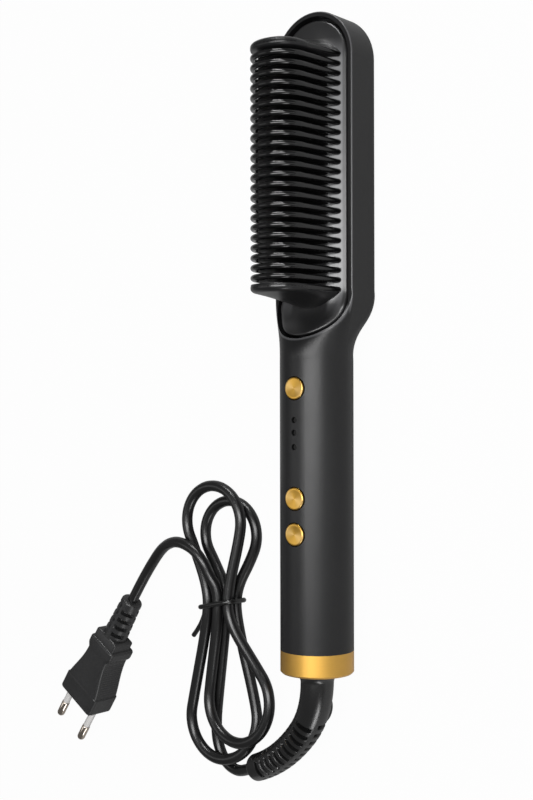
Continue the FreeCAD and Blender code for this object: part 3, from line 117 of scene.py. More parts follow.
# The tray, in millimetres: half its width, the depth of its toe, and the centres of its round top and its toe
TRAY_HALF, TRAY_TOE, HEAD_TOP, HEAD_TOE = 17.6, 13.9, 123.0, 17.0
# Its edge, as steps inwards and down
TRAY_EDGE = [(0.0, 6.0), (0.0, 1.7), (0.08, 1.1), (0.3, 0.6), (0.65, 0.25), (1.1, 0.06)]
TRAY_RINGS, TRAY_INSET, TRAY_LAST_INSET = 22, 1.7, 17.5

# The plug, in millimetres along its axis from the end of the cord; the sizes of its relief's slots are in metres
PLUG_TURN = math.radians(-33.5)
PLUG_FACE, PLUG_LENGTH, PLUG_RINGS = -65.0, 38.0, 153
PLUG_LOW, PLUG_HIGH, PLUG_BEND, PLUG_ROUND = -9.0, 7.0, 1.9, 1.6
PIN_ASIDE = 9.2
RELIEF_LENGTH, RELIEF_POINTS = 22.6, 12
RELIEF_SLOTS = {"Start": 0.0126, "End": 0.0106, "Length": 0.0226, "Rows": 8, "First": 0.0034, "Step": 0.0022,
                "Width": 0.0019, "Arc": 0.0068, "Depth": 0.0026, "Soft": 0.0002, "Lip": 0.0012, "Flare": 0.0,
                "Twist": 0.12, "Around": 80, "Along": 160}
FLARE_REACH = 0.0024

# Moulded finishes: name, colour or its property, least and most roughness, scale of the grain, spread of its tones,
# strength and depth of its bump, and specular level
MOULDED = {
    "case_black": ("satin black case", "case", 0.36, 0.42, 5200.0, 0.60, 0.40, 0.00005, 0.42),
    "cap_black": ("satin cap", "case", 0.30, 0.36, 4200.0, 0.30, 0.20, 0.00003, 0.40),
    "tray_black": ("satin tray", "tray", 0.29, 0.35, 4200.0, 0.30, 0.20, 0.00003, 0.70),
    "comb_black": ("glossy comb", "comb", 0.11, 0.15, 900.0, 0.20, 0.04, 0.00003, 0.55),
    "hot_plate": ("coated plate", (0.0030, 0.0029, 0.0028), 0.42, 0.52, 2600.0, 0.40, 0.10, 0.00003, 0.30),
    "ceramic": ("fired ceramic", (0.78, 0.76, 0.72), 0.45, 0.60, 2600.0, 0.08, 0.25, 0.00004, 0.50),
    "mica": ("mica sheet", (0.42, 0.34, 0.20), 0.30, 0.55, 700.0, 0.35, 0.25, 0.00004, 0.50),
    "sensor_glass": ("sensor bead", (0.30, 0.12, 0.06), 0.10, 0.20, 1200.0, 0.20, 0.25, 0.00004, 0.50),
    "component_black": ("moulded component", (0.015, 0.015, 0.016), 0.50, 0.65, 3000.0, 0.45, 0.25, 0.00004, 0.50),
    "plunger_white": ("white plunger", (0.74, 0.73, 0.70), 0.40, 0.55, 3500.0, 0.06, 0.25, 0.00004, 0.50),
    "led_white": ("light chip", (0.80, 0.78, 0.62), 0.25, 0.40, 3500.0, 0.08, 0.25, 0.00004, 0.50),
    "light_pipe": ("smoked light guide", (0.002, 0.002, 0.002), 0.10, 0.18, 1800.0, 0.30, 0.05, 0.00002, 0.15),
    "capacitor_grey": ("film capacitor", (0.20, 0.21, 0.23), 0.35, 0.50, 2500.0, 0.20, 0.25, 0.00004, 0.50),
    "wire_skin": ("wire sleeve", (0.55, 0.53, 0.50), 0.40, 0.55, 3000.0, 0.12, 0.25, 0.00004, 0.50),
    "swivel_plastic": ("swivel plastic", (0.012, 0.012, 0.012), 0.35, 0.45, 3800.0, 0.45, 0.25, 0.00004, 0.50),
    "boot_rubber": ("boot rubber", "rubber", 0.25, 0.31, 4200.0, 0.40, 0.20, 0.00004, 0.80),
    "cord_rubber": ("cord rubber", "rubber", 0.28, 0.33, 3000.0, 0.35, 0.03, 0.00002, 0.55),
    "tie_black": ("coated tie", (0.008, 0.008, 0.008), 0.16, 0.26, 2500.0, 0.30, 0.10, 0.00003, 0.50),
    "plug_black": ("plug", "plug", 0.34, 0.42, 4600.0, 0.75, 0.50, 0.00005, 0.50),
    "sleeve_grey": ("grey sleeve", (0.60, 0.59, 0.58), 0.26, 0.34, 900.0, 0.04, 0.03, 0.00002, 0.50),
}
# Metals: name, colour or its property, shade, least and most roughness, stretch of the lines, spread of their tones,
# strength of their bump, and weight of the clear coat
METALS = {
    "gold_metal": ("satin gold", "gold", 0.92, 0.45, 0.51, (300.0, 5200.0, 300.0), 0.08, 0.06, 0.7),
    "steel": ("drawn steel", (0.56, 0.56, 0.57), 1.0, 0.25, 0.40, (4000.0, 300.0, 4000.0), 0.12, 0.10, 0.0),
    "fuse_metal": ("tinned fuse", (0.62, 0.60, 0.55), 1.0, 0.25, 0.40, (3000.0, 300.0, 3000.0), 0.12, 0.10, 0.0),
    "contact_brass": ("contact brass", (0.66, 0.47, 0.20), 1.0, 0.22, 0.36, (3000.0, 400.0, 3000.0), 0.12, 0.10, 0.0),
    "pin_metal": ("nickel pin", (0.58, 0.51, 0.44), 1.0, 0.12, 0.20, (500.0, 500.0, 500.0), 0.10, 0.10, 0.0),
}
LINE_DEPTH, COAT_ROUGHNESS = 0.00003, 0.32


# Sizes and colours


class CombSizes(bpy.types.PropertyGroup):
    """Sizes of the comb guard's hoops and caps"""

    count: IntProperty(name="Hoops", description="Number of hoops over the heating plate", default=25, min=2, max=60)
    first_row: FloatProperty(name="First row", description="Place of the lowest hoop along the brush",
                             default=0.0226, unit="LENGTH")
    pitch: FloatProperty(name="Pitch", description="Step from one hoop to the next", default=0.0042, unit="LENGTH")
    wire: FloatProperty(name="Wire", description="Thickness of a hoop", default=0.0026, unit="LENGTH")
    width: FloatProperty(name="Width", description="Outer width of a hoop", default=0.0264, unit="LENGTH")
    top: FloatProperty(name="Top", description="Height of the hoops' outer side", default=0.053, unit="LENGTH")
    corner: FloatProperty(name="Corner", description="Outer radius of a hoop's corners", default=0.0128,
                          unit="LENGTH")
    tray: FloatProperty(name="Tray", description="Height of the tray that the caps stand on", default=0.0195,
                        unit="LENGTH")
    foot: FloatProperty(name="Foot", description="Height of the hoops' feet, under the tray", default=0.0135,
                        unit="LENGTH")
    bulge: FloatProperty(name="Cap bulge", description="How far a cap swells at its foot", default=0.0075,
                         unit="LENGTH")
    crest: FloatProperty(name="Cap crest", description="How far a cap stands out at its top", default=0.0016,
                         unit="LENGTH")
    splay: FloatProperty(name="Splay", description="How far a hoop's leg stands out at the tray", default=0.0017,
                         unit="LENGTH")


class CordSizes(bpy.types.PropertyGroup):
    """Sizes of the cord, its tie and its boot"""

    diameter: FloatProperty(name="Cord", description="Thickness of the mains cord", default=0.0052, unit="LENGTH")
    length: FloatProperty(name="Cord length", description="Length from the boot to the plug", default=0.78,
                          unit="LENGTH")
    tie: FloatProperty(name="Tie", description="Thickness of the wire tie", default=0.0023, unit="LENGTH")
    boot_start: FloatProperty(name="Boot at the collar", description="Thickness of the boot at the handle",
                              default=0.0146, unit="LENGTH")
    boot_end: FloatProperty(name="Boot at the mouth", description="Thickness of the boot at the cord",
                            default=0.0124, unit="LENGTH")
    slot_width: FloatProperty(name="Slot width", description="Width of a slot between two ribs", default=0.0017,
                              unit="LENGTH")


class Finishes(bpy.types.PropertyGroup):
    """Colours of the visible finishes"""

    case: FloatVectorProperty(name="Case", description="Satin black of the case", subtype="COLOR", size=3,
                              min=0.0, max=1.0, default=(0.0085, 0.0085, 0.0090))
    comb: FloatVectorProperty(name="Comb", description="Glossy black of the comb guard", subtype="COLOR", size=3,
                              min=0.0, max=1.0, default=(0.0035, 0.0035, 0.0036))
    tray: FloatVectorProperty(name="Tray", description="Satin dark grey of the comb tray", subtype="COLOR", size=3,
                              min=0.0, max=1.0, default=(0.014, 0.014, 0.0145))
    gold: FloatVectorProperty(name="Gold", description="Gold of the buttons and the ring", subtype="COLOR", size=3,
                              min=0.0, max=1.0, default=(0.800, 0.460, 0.085))
    rubber: FloatVectorProperty(name="Cord", description="Black of the cord and its boot", subtype="COLOR", size=3,
                                min=0.0, max=1.0, default=(0.0060, 0.0060, 0.0062))
    plug: FloatVectorProperty(name="Plug", description="Black of the plug", subtype="COLOR", size=3,
                              min=0.0, max=1.0, default=(0.0165, 0.0165, 0.0170))


# Node helpers


class Value:
    """A number that runs through a node tree; sums with it add Math nodes."""

    def __init__(self, tree, socket):
        self.tree = tree
        self.socket = socket

    def to(self, operation, other=None):
        return maths(self.tree, operation, self, other)

    def __add__(self, other):
        return self.to("ADD", other)

    def __sub__(self, other):
        return self.to("SUBTRACT", other)

    def __rsub__(self, other):
        return maths(self.tree, "SUBTRACT", other, self)

    def __mul__(self, other):
        return self.to("MULTIPLY", other)

    def __truediv__(self, other):
        return self.to("DIVIDE", other)


def feed(tree, socket, value):
    """Link a socket to another node, or give it a plain value."""
    if isinstance(value, Value):
        value = value.socket
    if isinstance(value, bpy.types.NodeSocket):
        tree.links.new(value, socket)
    else:
        socket.default_value = value


def add_node(tree, kind, inputs=None, **settings):
    """A new node with its settings, and its inputs by name or place."""
    node = tree.nodes.new(kind)
    for label, value in settings.items():
        setattr(node, label, value)
    for key, value in (inputs or {}).items():
        feed(tree, node.inputs[key], value)
    return node


def maths(tree, operation, first, second=None):
    inputs = {0: first} if second is None else {0: first, 1: second}
    return Value(tree, add_node(tree, "ShaderNodeMath", inputs, operation=operation).outputs[0])


def hypot(first, second):
    return (first * first + second * second).to("SQRT")


def ramp(value, start, end, low=0.0, high=1.0, curve="LINEAR"):
    """A value that goes from low to high while the given one goes from start to end."""
    node = add_node(value.tree, "ShaderNodeMapRange", {0: value, 1: start, 2: end, 3: low, 4: high},
                    interpolation_type=curve)
    return Value(value.tree, node.outputs[0])


def soft_step(value, low, high):
    """A smooth step from 0 at low to 1 at high."""
    ends = (low, high, 0.0, 1.0) if low < high else (high, low, 1.0, 0.0)
    return ramp(value, *ends, "SMOOTHSTEP")


def mix(tree, factor, first, second, kind="RGBA"):
    """One colour or number that turns into another as the factor goes from 0 to 1."""
    place, result = {"FLOAT": (2, 0), "RGBA": (6, 2)}[kind]
    inputs = {0: factor, place: first, place + 1: second}
    return add_node(tree, "ShaderNodeMix", inputs, data_type=kind).outputs[result]


def noise(tree, place, scale, detail, roughness):
    inputs = {"Vector": place, "Scale": scale, "Detail": detail, "Roughness": roughness}
    return Value(tree, add_node(tree, "ShaderNodeTexNoise", inputs).outputs["Fac"])


def object_place(tree):
    return tree.nodes.new("ShaderNodeTexCoord").outputs["Object"]


def split(tree, vector):
    """The three parts of a vector."""
    return [Value(tree, socket) for socket in add_node(tree, "ShaderNodeSeparateXYZ", {0: vector}).outputs]


# Shader groups


def surface_group(name, inputs):
    """A shader group that puts out a colour, a roughness and a height; returns it with its end nodes."""
    group = bpy.data.node_groups.new(name, "ShaderNodeTree")
    for label, kind, default in inputs:
        group.interface.new_socket(label, in_out="INPUT", socket_type=kind).default_value = default
    for label, kind in (("Color", "NodeSocketColor"), ("Roughness", "NodeSocketFloat"), ("Height", "NodeSocketFloat")):
        group.interface.new_socket(label, in_out="OUTPUT", socket_type=kind)
    return group, group.nodes.new("NodeGroupInput").outputs, group.nodes.new("NodeGroupOutput").inputs


@cache
def moulded_grain():
    """Fine grain of a moulded surface, with soft patches where it is handled."""
    group, given, result = surface_group("Moulded grain", [
        ("Dark", "NodeSocketColor", (0.01, 0.01, 0.01, 1)), ("Light", "NodeSocketColor", (0.03, 0.03, 0.03, 1)),
        ("Grain Scale", "NodeSocketFloat", 4000.0), ("Smooth", "NodeSocketFloat", 0.4),
        ("Rough", "NodeSocketFloat", 0.5)])
    place = object_place(group)
    grain = noise(group, place, given["Grain Scale"], detail=2.0, roughness=0.6)
    patches = noise(group, place, scale=55.0, detail=3.0, roughness=0.55)
    blend = ramp(grain, 0.35, 0.70) * 0.7 + patches * 0.3
    feed(group, result["Color"], mix(group, blend, given["Dark"], given["Light"]))
    feed(group, result["Roughness"], ramp(patches, 0.0, 1.0, given["Smooth"], given["Rough"]))
    feed(group, result["Height"], grain)
    return group


@cache
def drawn_lines():
    """Fine parallel lines left by drawing or turning a surface."""
    group, given, result = surface_group("Drawn lines", [
        ("Place", "NodeSocketVector", (0, 0, 0)), ("Dark", "NodeSocketColor", (0.4, 0.25, 0.05, 1)),
        ("Light", "NodeSocketColor", (0.8, 0.5, 0.15, 1)), ("Smooth", "NodeSocketFloat", 0.2),
        ("Rough", "NodeSocketFloat", 0.35)])
    lines = noise(group, given["Place"], scale=1.0, detail=3.0, roughness=0.65)
    feed(group, result["Color"], mix(group, lines, given["Dark"], given["Light"]))
    feed(group, result["Roughness"], ramp(lines, 0.0, 1.0, given["Smooth"], given["Rough"]))
    feed(group, result["Height"], lines)
    return group


# Finishes


def colour(values, factor=1.0):
    return tuple(min(value * factor, 1.0) for value in values) + (1.0,)


def bare_material(name):
    finish = bpy.data.materials.new(name)
    finish.use_nodes = True
    return finish, finish.node_tree, finish.node_tree.nodes["Principled BSDF"]


def lay(tree, shader, group, bump, depth, **inputs):
    """Lay a shader group over a surface; returns its colour."""
    inputs = {label.replace("_", " "): value for label, value in inputs.items()}
    made = add_node(tree, "ShaderNodeGroup", inputs, node_tree=group)
    feed(tree, shader.inputs["Roughness"], made.outputs["Roughness"])
    relief = add_node(tree, "ShaderNodeBump", {"Strength": bump, "Distance": depth, "Height": made.outputs["Height"]})
    feed(tree, shader.inputs["Normal"], relief.outputs[0])
    return made.outputs["Color"]


def grained(name, tint, smooth, rough, scale, spread, bump, depth, specular):
    """A moulded plastic or rubber with a fine grain."""
    finish, tree, shader = bare_material(name)
    shade = lay(tree, shader, moulded_grain(), bump, depth, Dark=colour(tint, 1.0 - spread),
                Light=colour(tint, 1.0 + spread), Grain_Scale=scale, Smooth=smooth, Rough=rough)
    feed(tree, shader.inputs["Base Color"], shade)
    feed(tree, shader.inputs["Specular IOR Level"], specular)
    return finish


def paint_highlight(finish, highlight_mask, tint, roughness=None):
    """Paint a lighter colour, a painted highlight, onto the masked places of a finish, and a roughness if one is
    given.
    """
    tree = finish.node_tree
    looks = [("Base Color", "RGBA", colour(tint))]
    if roughness is not None:
        looks.append(("Roughness", "FLOAT", roughness))
    for label, kind, painted_look in looks:
        socket = tree.nodes["Principled BSDF"].inputs[label]
        feed(tree, socket, mix(tree, highlight_mask, socket.links[0].from_socket, painted_look, kind))


def smooth_rim_with_painted_highlight(finish):
    """Paint a highlight on the outer edge of the head's rim and its toe: a lighter colour there, with a smoother
    finish.
    """
    tree = finish.node_tree
    coords = tree.nodes.new("ShaderNodeTexCoord")
    x, y, _ = split(tree, coords.outputs["Object"])
    up = split(tree, coords.outputs["Normal"])[2]
    reach = hypot(x, (y - HEAD_TOP * MM).to("MAXIMUM", 0.0))
    rim = soft_step(reach, 0.0195, 0.0200)
    for value, low, high in ((y, 0.002, 0.018), (up, 0.20, 0.40), (up, 0.995, 0.93)):
        rim = rim * soft_step(value, low, high)
    wide = x / 0.0189
    down = (HEAD_TOE * MM - y) / 0.015
    toe = soft_step(hypot(wide, down), 1.075, 1.035) * soft_step(down, 0.0, 0.2) * soft_step(up, 0.30, 0.50)
    # painted highlight: the rim's band and the toe take a lighter grey colour, and a lower roughness
    paint_highlight(finish, rim.to("MAXIMUM", toe), (0.070, 0.070, 0.073), 0.32)


def paint_tray_shoulder_highlight(finish):
    """Paint a highlight on the tray's sloping sides: a band of lighter colour along them."""
    x, y, _ = split(finish.node_tree, object_place(finish.node_tree))
    aside = x.to("ABSOLUTE")
    highlight_mask = soft_step(aside, 0.0085, 0.0105)
    for value, low, high in ((aside, 0.0166, 0.0152), (y, 0.010, 0.026), (y, 0.132, 0.120)):
        highlight_mask = highlight_mask * soft_step(value, low, high)
    # painted highlight: the band takes a lighter grey colour
    paint_highlight(finish, highlight_mask, (0.11, 0.11, 0.114))


def lined(name, tint, smooth, rough, stretch, spread, bump, coat):
    """A metal with fine lines along the axes whose stretch is small."""
    finish, tree, shader = bare_material(name)
    mapping = add_node(tree, "ShaderNodeMapping", {"Vector": object_place(tree), "Scale": stretch})
    shade = lay(tree, shader, drawn_lines(), bump, LINE_DEPTH, Place=mapping.outputs[0],
                Dark=colour(tint, 1.0 - spread), Light=colour(tint, 1.0 + spread), Smooth=smooth, Rough=rough)
    for label, value in (("Base Color", shade), ("Metallic", 1.0), ("Coat Weight", coat),
                         ("Coat Roughness", COAT_ROUGHNESS)):
        feed(tree, shader.inputs[label], value)
    return finish


def spun_gold(name, tint, centre):
    """Gold face turned on a lathe: fine rings round its centre, with painted highlight wedges that lighten its colour.
    """
    finish, tree, shader = bare_material(name)
    mapping = add_node(tree, "ShaderNodeMapping", {"Vector": object_place(tree), "Location": [-way for way in centre]})
    x, y, _ = split(tree, mapping.outputs[0])
    length = add_node(tree, "ShaderNodeVectorMath", {0: mapping.outputs[0]}, operation="LENGTH")
    radius = Value(tree, length.outputs["Value"])
    along = add_node(tree, "ShaderNodeCombineXYZ", {0: radius * 9000.0})
    shade = lay(tree, shader, drawn_lines(), 0.12, LINE_DEPTH, Place=along.outputs[0], Dark=colour(tint, 0.66),
                Light=colour(tint, 0.90), Smooth=0.24, Rough=0.40)
    # painted highlight: two bright wedges round the centre mix a pale gold into the colour
    painted_glint_wedge = (y.to("ARCTAN2", x) + 0.35).to("COSINE").to("ABSOLUTE").to("POWER", 5.0)
    glow = mix(tree, painted_glint_wedge * 0.80, shade, (1.0, 0.66, 0.24, 1.0))
    for label, value in (("Base Color", glow), ("Metallic", 1.0), ("Anisotropic", 0.5)):
        feed(tree, shader.inputs[label], value)
    return finish


def board_finish(name):
    """Green board with a faint pattern of tracks."""
    finish, tree, shader = bare_material(name)
    place = object_place(tree)
    tracks = add_node(tree, "ShaderNodeTexBrick", {
        "Vector": place, "Scale": 260.0, "Mortar Size": 0.03, "Color1": (0.010, 0.095, 0.035, 1),
        "Color2": (0.014, 0.120, 0.045, 1), "Mortar": (0.05, 0.20, 0.07, 1)})
    feed(tree, shader.inputs["Base Color"], tracks.outputs["Color"])
    patches = noise(tree, place, scale=900.0, detail=2.0, roughness=0.5)
    feed(tree, shader.inputs["Roughness"], ramp(patches, 0.0, 1.0, 0.3, 0.5))
    return finish


FINISHES = {}


def make_finishes(tones):
    """Make every finish, by the name of its slot, and the caps' own."""

    def tint(choice, shade=1.0):
        return [shade * value for value in (getattr(tones, choice) if isinstance(choice, str) else choice)]

    for slot, (name, choice, *look) in MOULDED.items():
        FINISHES[slot] = grained(name, tint(choice), *look)
    for slot, (name, choice, shade, *look) in METALS.items():
        FINISHES[slot] = lined(name, tint(choice, shade), *look)
    FINISHES["board_green"] = board_finish("circuit board")
    # The case's rim and the tray's sloping sides get painted highlights in their colours
    smooth_rim_with_painted_highlight(FINISHES["case_black"])
    paint_tray_shoulder_highlight(FINISHES["tray_black"])


# Mesh helpers


def add_piece(name, mesh, body, slot, *nodes, finish=None, sharp=None):
    """Put a finished mesh in the scene as a piece that rides on a body and stands for CAD nodes."""
    mesh.name = name
    mesh.materials.clear()
    mesh.materials.append(finish or FINISHES[slot])
    mesh.shade_smooth()
    if sharp is not None:
        mesh.set_sharp_from_angle(angle=math.radians(sharp))
    piece = bpy.data.objects.new(name, mesh)
    bpy.context.scene.collection.objects.link(piece)
    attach(piece, body)
    if nodes:
        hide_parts(*nodes)
    return piece


def mesh_from(verts, faces):
    """A mesh with merged corners and outward normals."""
    mesh = bpy.data.meshes.new("piece")
    mesh.from_pydata(verts, [], faces)
    work = bmesh.new()
    work.from_mesh(mesh)
    bmesh.ops.remove_doubles(work, verts=work.verts, dist=1e-7)
    bmesh.ops.recalc_face_normals(work, faces=work.faces)
    work.to_mesh(mesh)
    work.free()
    return mesh


def grid_faces(rows, columns, closed=False):
    """Four-sided faces between rows of points; closed joins the last column to the first."""
    faces = []
    for start in range(0, (rows - 1) * columns, columns):
        for column in range(columns if closed else columns - 1):
            following = (column + 1) % columns
            faces.append((start + column, start + following, start + columns + following, start + columns + column))
    return faces


def block(rings):
    """Verts and faces of a solid through closed rings of points, with flat ends."""
    count = len(rings[0])
    verts = [spot for ring in rings for spot in ring]
    faces = grid_faces(len(rings), count, True)
    faces.append(tuple(range(count)))
    faces.append(tuple(range(len(verts) - count, len(verts))))
    return verts, faces


def lathe(profile, around):
    """Verts and faces of a solid turned round Z from (radius, height) pairs."""
    verts = []
    for radius, height in profile:
        for step in range(around):
            angle = 2 * math.pi * step / around
            verts.append((radius * math.cos(angle), radius * math.sin(angle), height))
    return verts, grid_faces(len(profile), around, True)


def joined(parts):
    """Several (verts, faces) pairs as one."""
    verts = []
    faces = []
    for part_verts, part_faces in parts:
        start = len(verts)
        verts += [tuple(vert) for vert in part_verts]
        faces += [tuple(index + start for index in face) for face in part_faces]
    return verts, faces


def moved(part, matrix):
    verts, faces = part
    return [tuple(matrix @ Vector(vert)) for vert in verts], faces


def mesh_parts(mesh):
    """The verts and faces of a mesh."""
    return [tuple(vert.co) for vert in mesh.vertices], [tuple(face.vertices) for face in mesh.polygons]


def plain_mesh(data, tree=None, values=None):
    """The mesh that a curve, or a tree on a line of points, comes to."""
    item = bpy.data.objects.new("line", data)
    bpy.context.scene.collection.objects.link(item)
    if tree:
        modifier = item.modifiers.new("Nodes", "NODES")
        modifier.node_group = tree.group
        for label, value in values.items():
            modifier[tree.names[label]] = value
    bpy.context.view_layer.update()
    mesh = bpy.data.meshes.new_from_object(item.evaluated_get(bpy.context.evaluated_depsgraph_get()))
    item.modifiers.clear()
    bpy.data.objects.remove(item)
    if not mesh.polygons:
        raise RuntimeError(f"{data.name} made no faces")
    return mesh


def grow(tree, points, values):
    """The mesh that a tree makes from a line of points."""
    line = bpy.data.meshes.new("line")
    line.from_pydata(points, [(index, index + 1) for index in range(len(points) - 1)], [])
    return plain_mesh(line, tree, values)


def ease(share):
    """A smooth step from 0 to 1."""
    share = min(max(share, 0.0), 1.0)
    return share * share * (3 - 2 * share)


# Geometry Nodes


class Tree:
    """A Geometry Nodes tree under construction, with its inputs by name."""

    def __init__(self, name, lengths, counts):
        self.group = bpy.data.node_groups.new(name, "GeometryNodeTree")
        sockets = self.group.interface
        sockets.new_socket("Geometry", in_out="INPUT", socket_type="NodeSocketGeometry")
        self.names = {}
        for kind, labels in (("NodeSocketFloat", lengths), ("NodeSocketInt", counts)):
            for label in labels:
                self.names[label] = sockets.new_socket(label, in_out="INPUT", socket_type=kind).identifier
        sockets.new_socket("Geometry", in_out="OUTPUT", socket_type="NodeSocketGeometry")
        source = self.group.nodes.new("NodeGroupInput")
        self.given = {label: Value(self.group, source.outputs[label]) for label in ("Geometry", *self.names)}

    def add(self, kind, inputs=None, output=0, **settings):
        """One output of a new node."""
        return Value(self.group, add_node(self.group, kind, inputs, **settings).outputs[output])

    def capture(self, geometry, **items):
        """Store values on a geometry's points; returns it and each stored value."""
        node = add_node(self.group, "GeometryNodeCaptureAttribute", {"Geometry": geometry})
        for label, (kind, value) in items.items():
            node.capture_items.new(kind, label)
            feed(self.group, node.inputs[label], value)
        return [Value(self.group, node.outputs[label]) for label in ("Geometry", *items)]

    def finish(self, geometry, material):
        realised = self.add("GeometryNodeRealizeInstances", {"Geometry": geometry})
        painted = self.add("GeometryNodeSetMaterial", {"Geometry": realised, "Material": material})
        add_node(self.group, "NodeGroupOutput", {0: painted})


def hoop_row_tree(material):
    """Hoops bent from a line of points, one behind the other."""
    tree = Tree("Hoop row", ("Pitch", "Wire", "Bend"), ("Count",))
    given = tree.given
    line = tree.add("GeometryNodeMeshToCurve", {"Mesh": given["Geometry"]})
    bent = tree.add("GeometryNodeFilletCurve", {"Curve": line, "Count": 32, "Radius": given["Bend"]}, mode="POLY")
    ring = tree.add("GeometryNodeCurvePrimitiveCircle", {"Resolution": 20, "Radius": given["Wire"] * 0.5})
    hoop = tree.add("GeometryNodeCurveToMesh", {"Curve": bent, "Profile Curve": ring, "Fill Caps": True})
    step = tree.add("ShaderNodeCombineXYZ", {"Y": given["Pitch"]})
    rows = tree.add("GeometryNodeMeshLine", {"Count": given["Count"], "Offset": step})
    placed = tree.add("GeometryNodeInstanceOnPoints", {"Points": rows, "Instance": hoop})
    tree.finish(placed, material)
    return tree


def slotted_sleeve_tree(material):
    """A tapered sleeve along a line, with rows of slots that take turns round it."""
    tree = Tree("Slotted sleeve",
                ("Start", "End", "Length", "First", "Step", "Width", "Arc", "Depth", "Soft", "Lip", "Flare", "Twist"),
                ("Rows", "Around", "Along"))
    given = tree.given
    line = tree.add("GeometryNodeMeshToCurve", {"Mesh": given["Geometry"]})
    fine = tree.add("GeometryNodeResampleCurve", {"Curve": line, "Count": given["Along"]})
    level = tree.add("GeometryNodeSetCurveNormal", {"Curve": fine}, mode="Z_UP")
    spline = add_node(tree.group, "GeometryNodeSplineParameter")
    spot = tree.add("GeometryNodeInputPosition")
    curve, travel, axis = tree.capture(level, Travel=("FLOAT", spline.outputs["Length"]), Axis=("VECTOR", spot))
    circle = tree.add("GeometryNodeCurvePrimitiveCircle", {"Resolution": given["Around"], "Radius": 1.0})
    ring, turn = tree.capture(circle, Turn=("FLOAT", spline.outputs["Factor"]))
    sleeve = tree.add("GeometryNodeCurveToMesh", {"Curve": curve, "Profile Curve": ring, "Fill Caps": True})

    def inside(distance, wide):
        """1 within half the width of a slot and 0 outside it, with a soft edge."""
        half = wide * 0.5
        return ramp(distance, half - given["Soft"], half + given["Soft"], 1.0, 0.0, "SMOOTHSTEP")

    width = (given["Start"] + (given["End"] - given["Start"]) * (travel / given["Length"])) * 0.5
    place = (travel - given["First"]) / given["Step"]
    row = place.to("ROUND").to("MAXIMUM", 0.0).to("MINIMUM", given["Rows"] - 1.0)
    in_row = inside((place - row).to("ABSOLUTE") * given["Step"], given["Width"])
    turn = (turn + given["Twist"]) * 2.0 + row.to("MODULO", 2.0) * 0.5
    in_arc = inside((turn - turn.to("ROUND")).to("ABSOLUTE") * math.pi * width, given["Arc"])
    sunk = in_row * in_arc * given["Depth"]
    past = ((travel - (given["Length"] - given["Lip"])) / given["Lip"]).to("MAXIMUM", 0.0).to("MINIMUM", 1.0)
    fall = 1.0 - (1.0 - past * past).to("SQRT")
    near = (1.0 - travel / FLARE_REACH).to("MAXIMUM", 0.0)
    radius = width - sunk - fall * given["Lip"] + near * near * given["Flare"]
    ray = tree.add("ShaderNodeVectorMath", {0: spot, 1: axis}, operation="SUBTRACT")
    scaled = tree.add("ShaderNodeVectorMath", {0: ray, "Scale": radius}, operation="SCALE")
    target = tree.add("ShaderNodeVectorMath", {0: axis, 1: scaled}, operation="ADD")
    tree.finish(tree.add("GeometryNodeSetPosition", {"Geometry": sleeve, "Position": target}), material)
    return tree


# Routes


def hank_points():
    """Control points of the hank's turns: the strands and round end of every loop, in millimetres."""
    entry = Vector((WAIST_X, WAIST_Y, WAIST_LIFT))
    points = [entry + Vector((0, -WAIST_RUN, 0)), entry + Vector((0, WAIST_RUN, 0))]
    up = 1
    for x, y, radius, (low, middle, high), strand, layer in HANK_LOOPS:
        leave = Vector((WAIST_X + STRAND_STEP * strand, WAIST_Y, WAIST_LIFT + LAYER_STEP * layer))
        centre = Vector((x, y, 0))
        angles = []
        for spot, side in ((entry, -up), (leave, up)):
            shift = centre - Vector((spot.x, spot.y, 0))
            flank = (shift.dot(shift) - radius ** 2) / (2 * (radius + side * shift.x))
            normal = (Vector((spot.x + side * flank, spot.y, 0)) - centre).normalized()
            angles.append(math.atan2(normal.y, normal.x))
        first, last = angles
        while last > first:
            last -= 2 * math.pi
        reach = radius * LOOP_SWELL
        for index in range(LOOP_POINTS):
            share = index / (LOOP_POINTS - 1)
            angle = first + (last - first) * share
            height = low + (middle - low) * share * 2 if share < 0.5 else middle + (high - middle) * (share * 2 - 1)
            points.append(Vector((x + reach * math.cos(angle), y + reach * math.sin(angle),
                                  HANK_TABLE + LAYER_STEP * height)))
        points += [leave + Vector((0, WAIST_RUN * up, 0)), leave + Vector((0, -WAIST_RUN * up, 0))]
        entry = leave
        up = -up
    return points


def nurbs(name, points, diameter):
    """A smooth round curve that has the points, in millimetres, as its control points."""
    data = bpy.data.curves.new(name, "CURVE")
    data.dimensions = "3D"
    spline = data.splines.new("NURBS")
    spline.points.add(len(points) - 1)
    for spot, point in zip(spline.points, points):
        spot.co = (point[0] * MM, point[1] * MM, point[2] * MM, 1.0)
    spline.order_u = 3
    spline.use_endpoint_u = True
    spline.resolution_u = 10
    data.bevel_depth = diameter / 2
    data.bevel_resolution = 6
    data.use_fill_caps = True
    return data


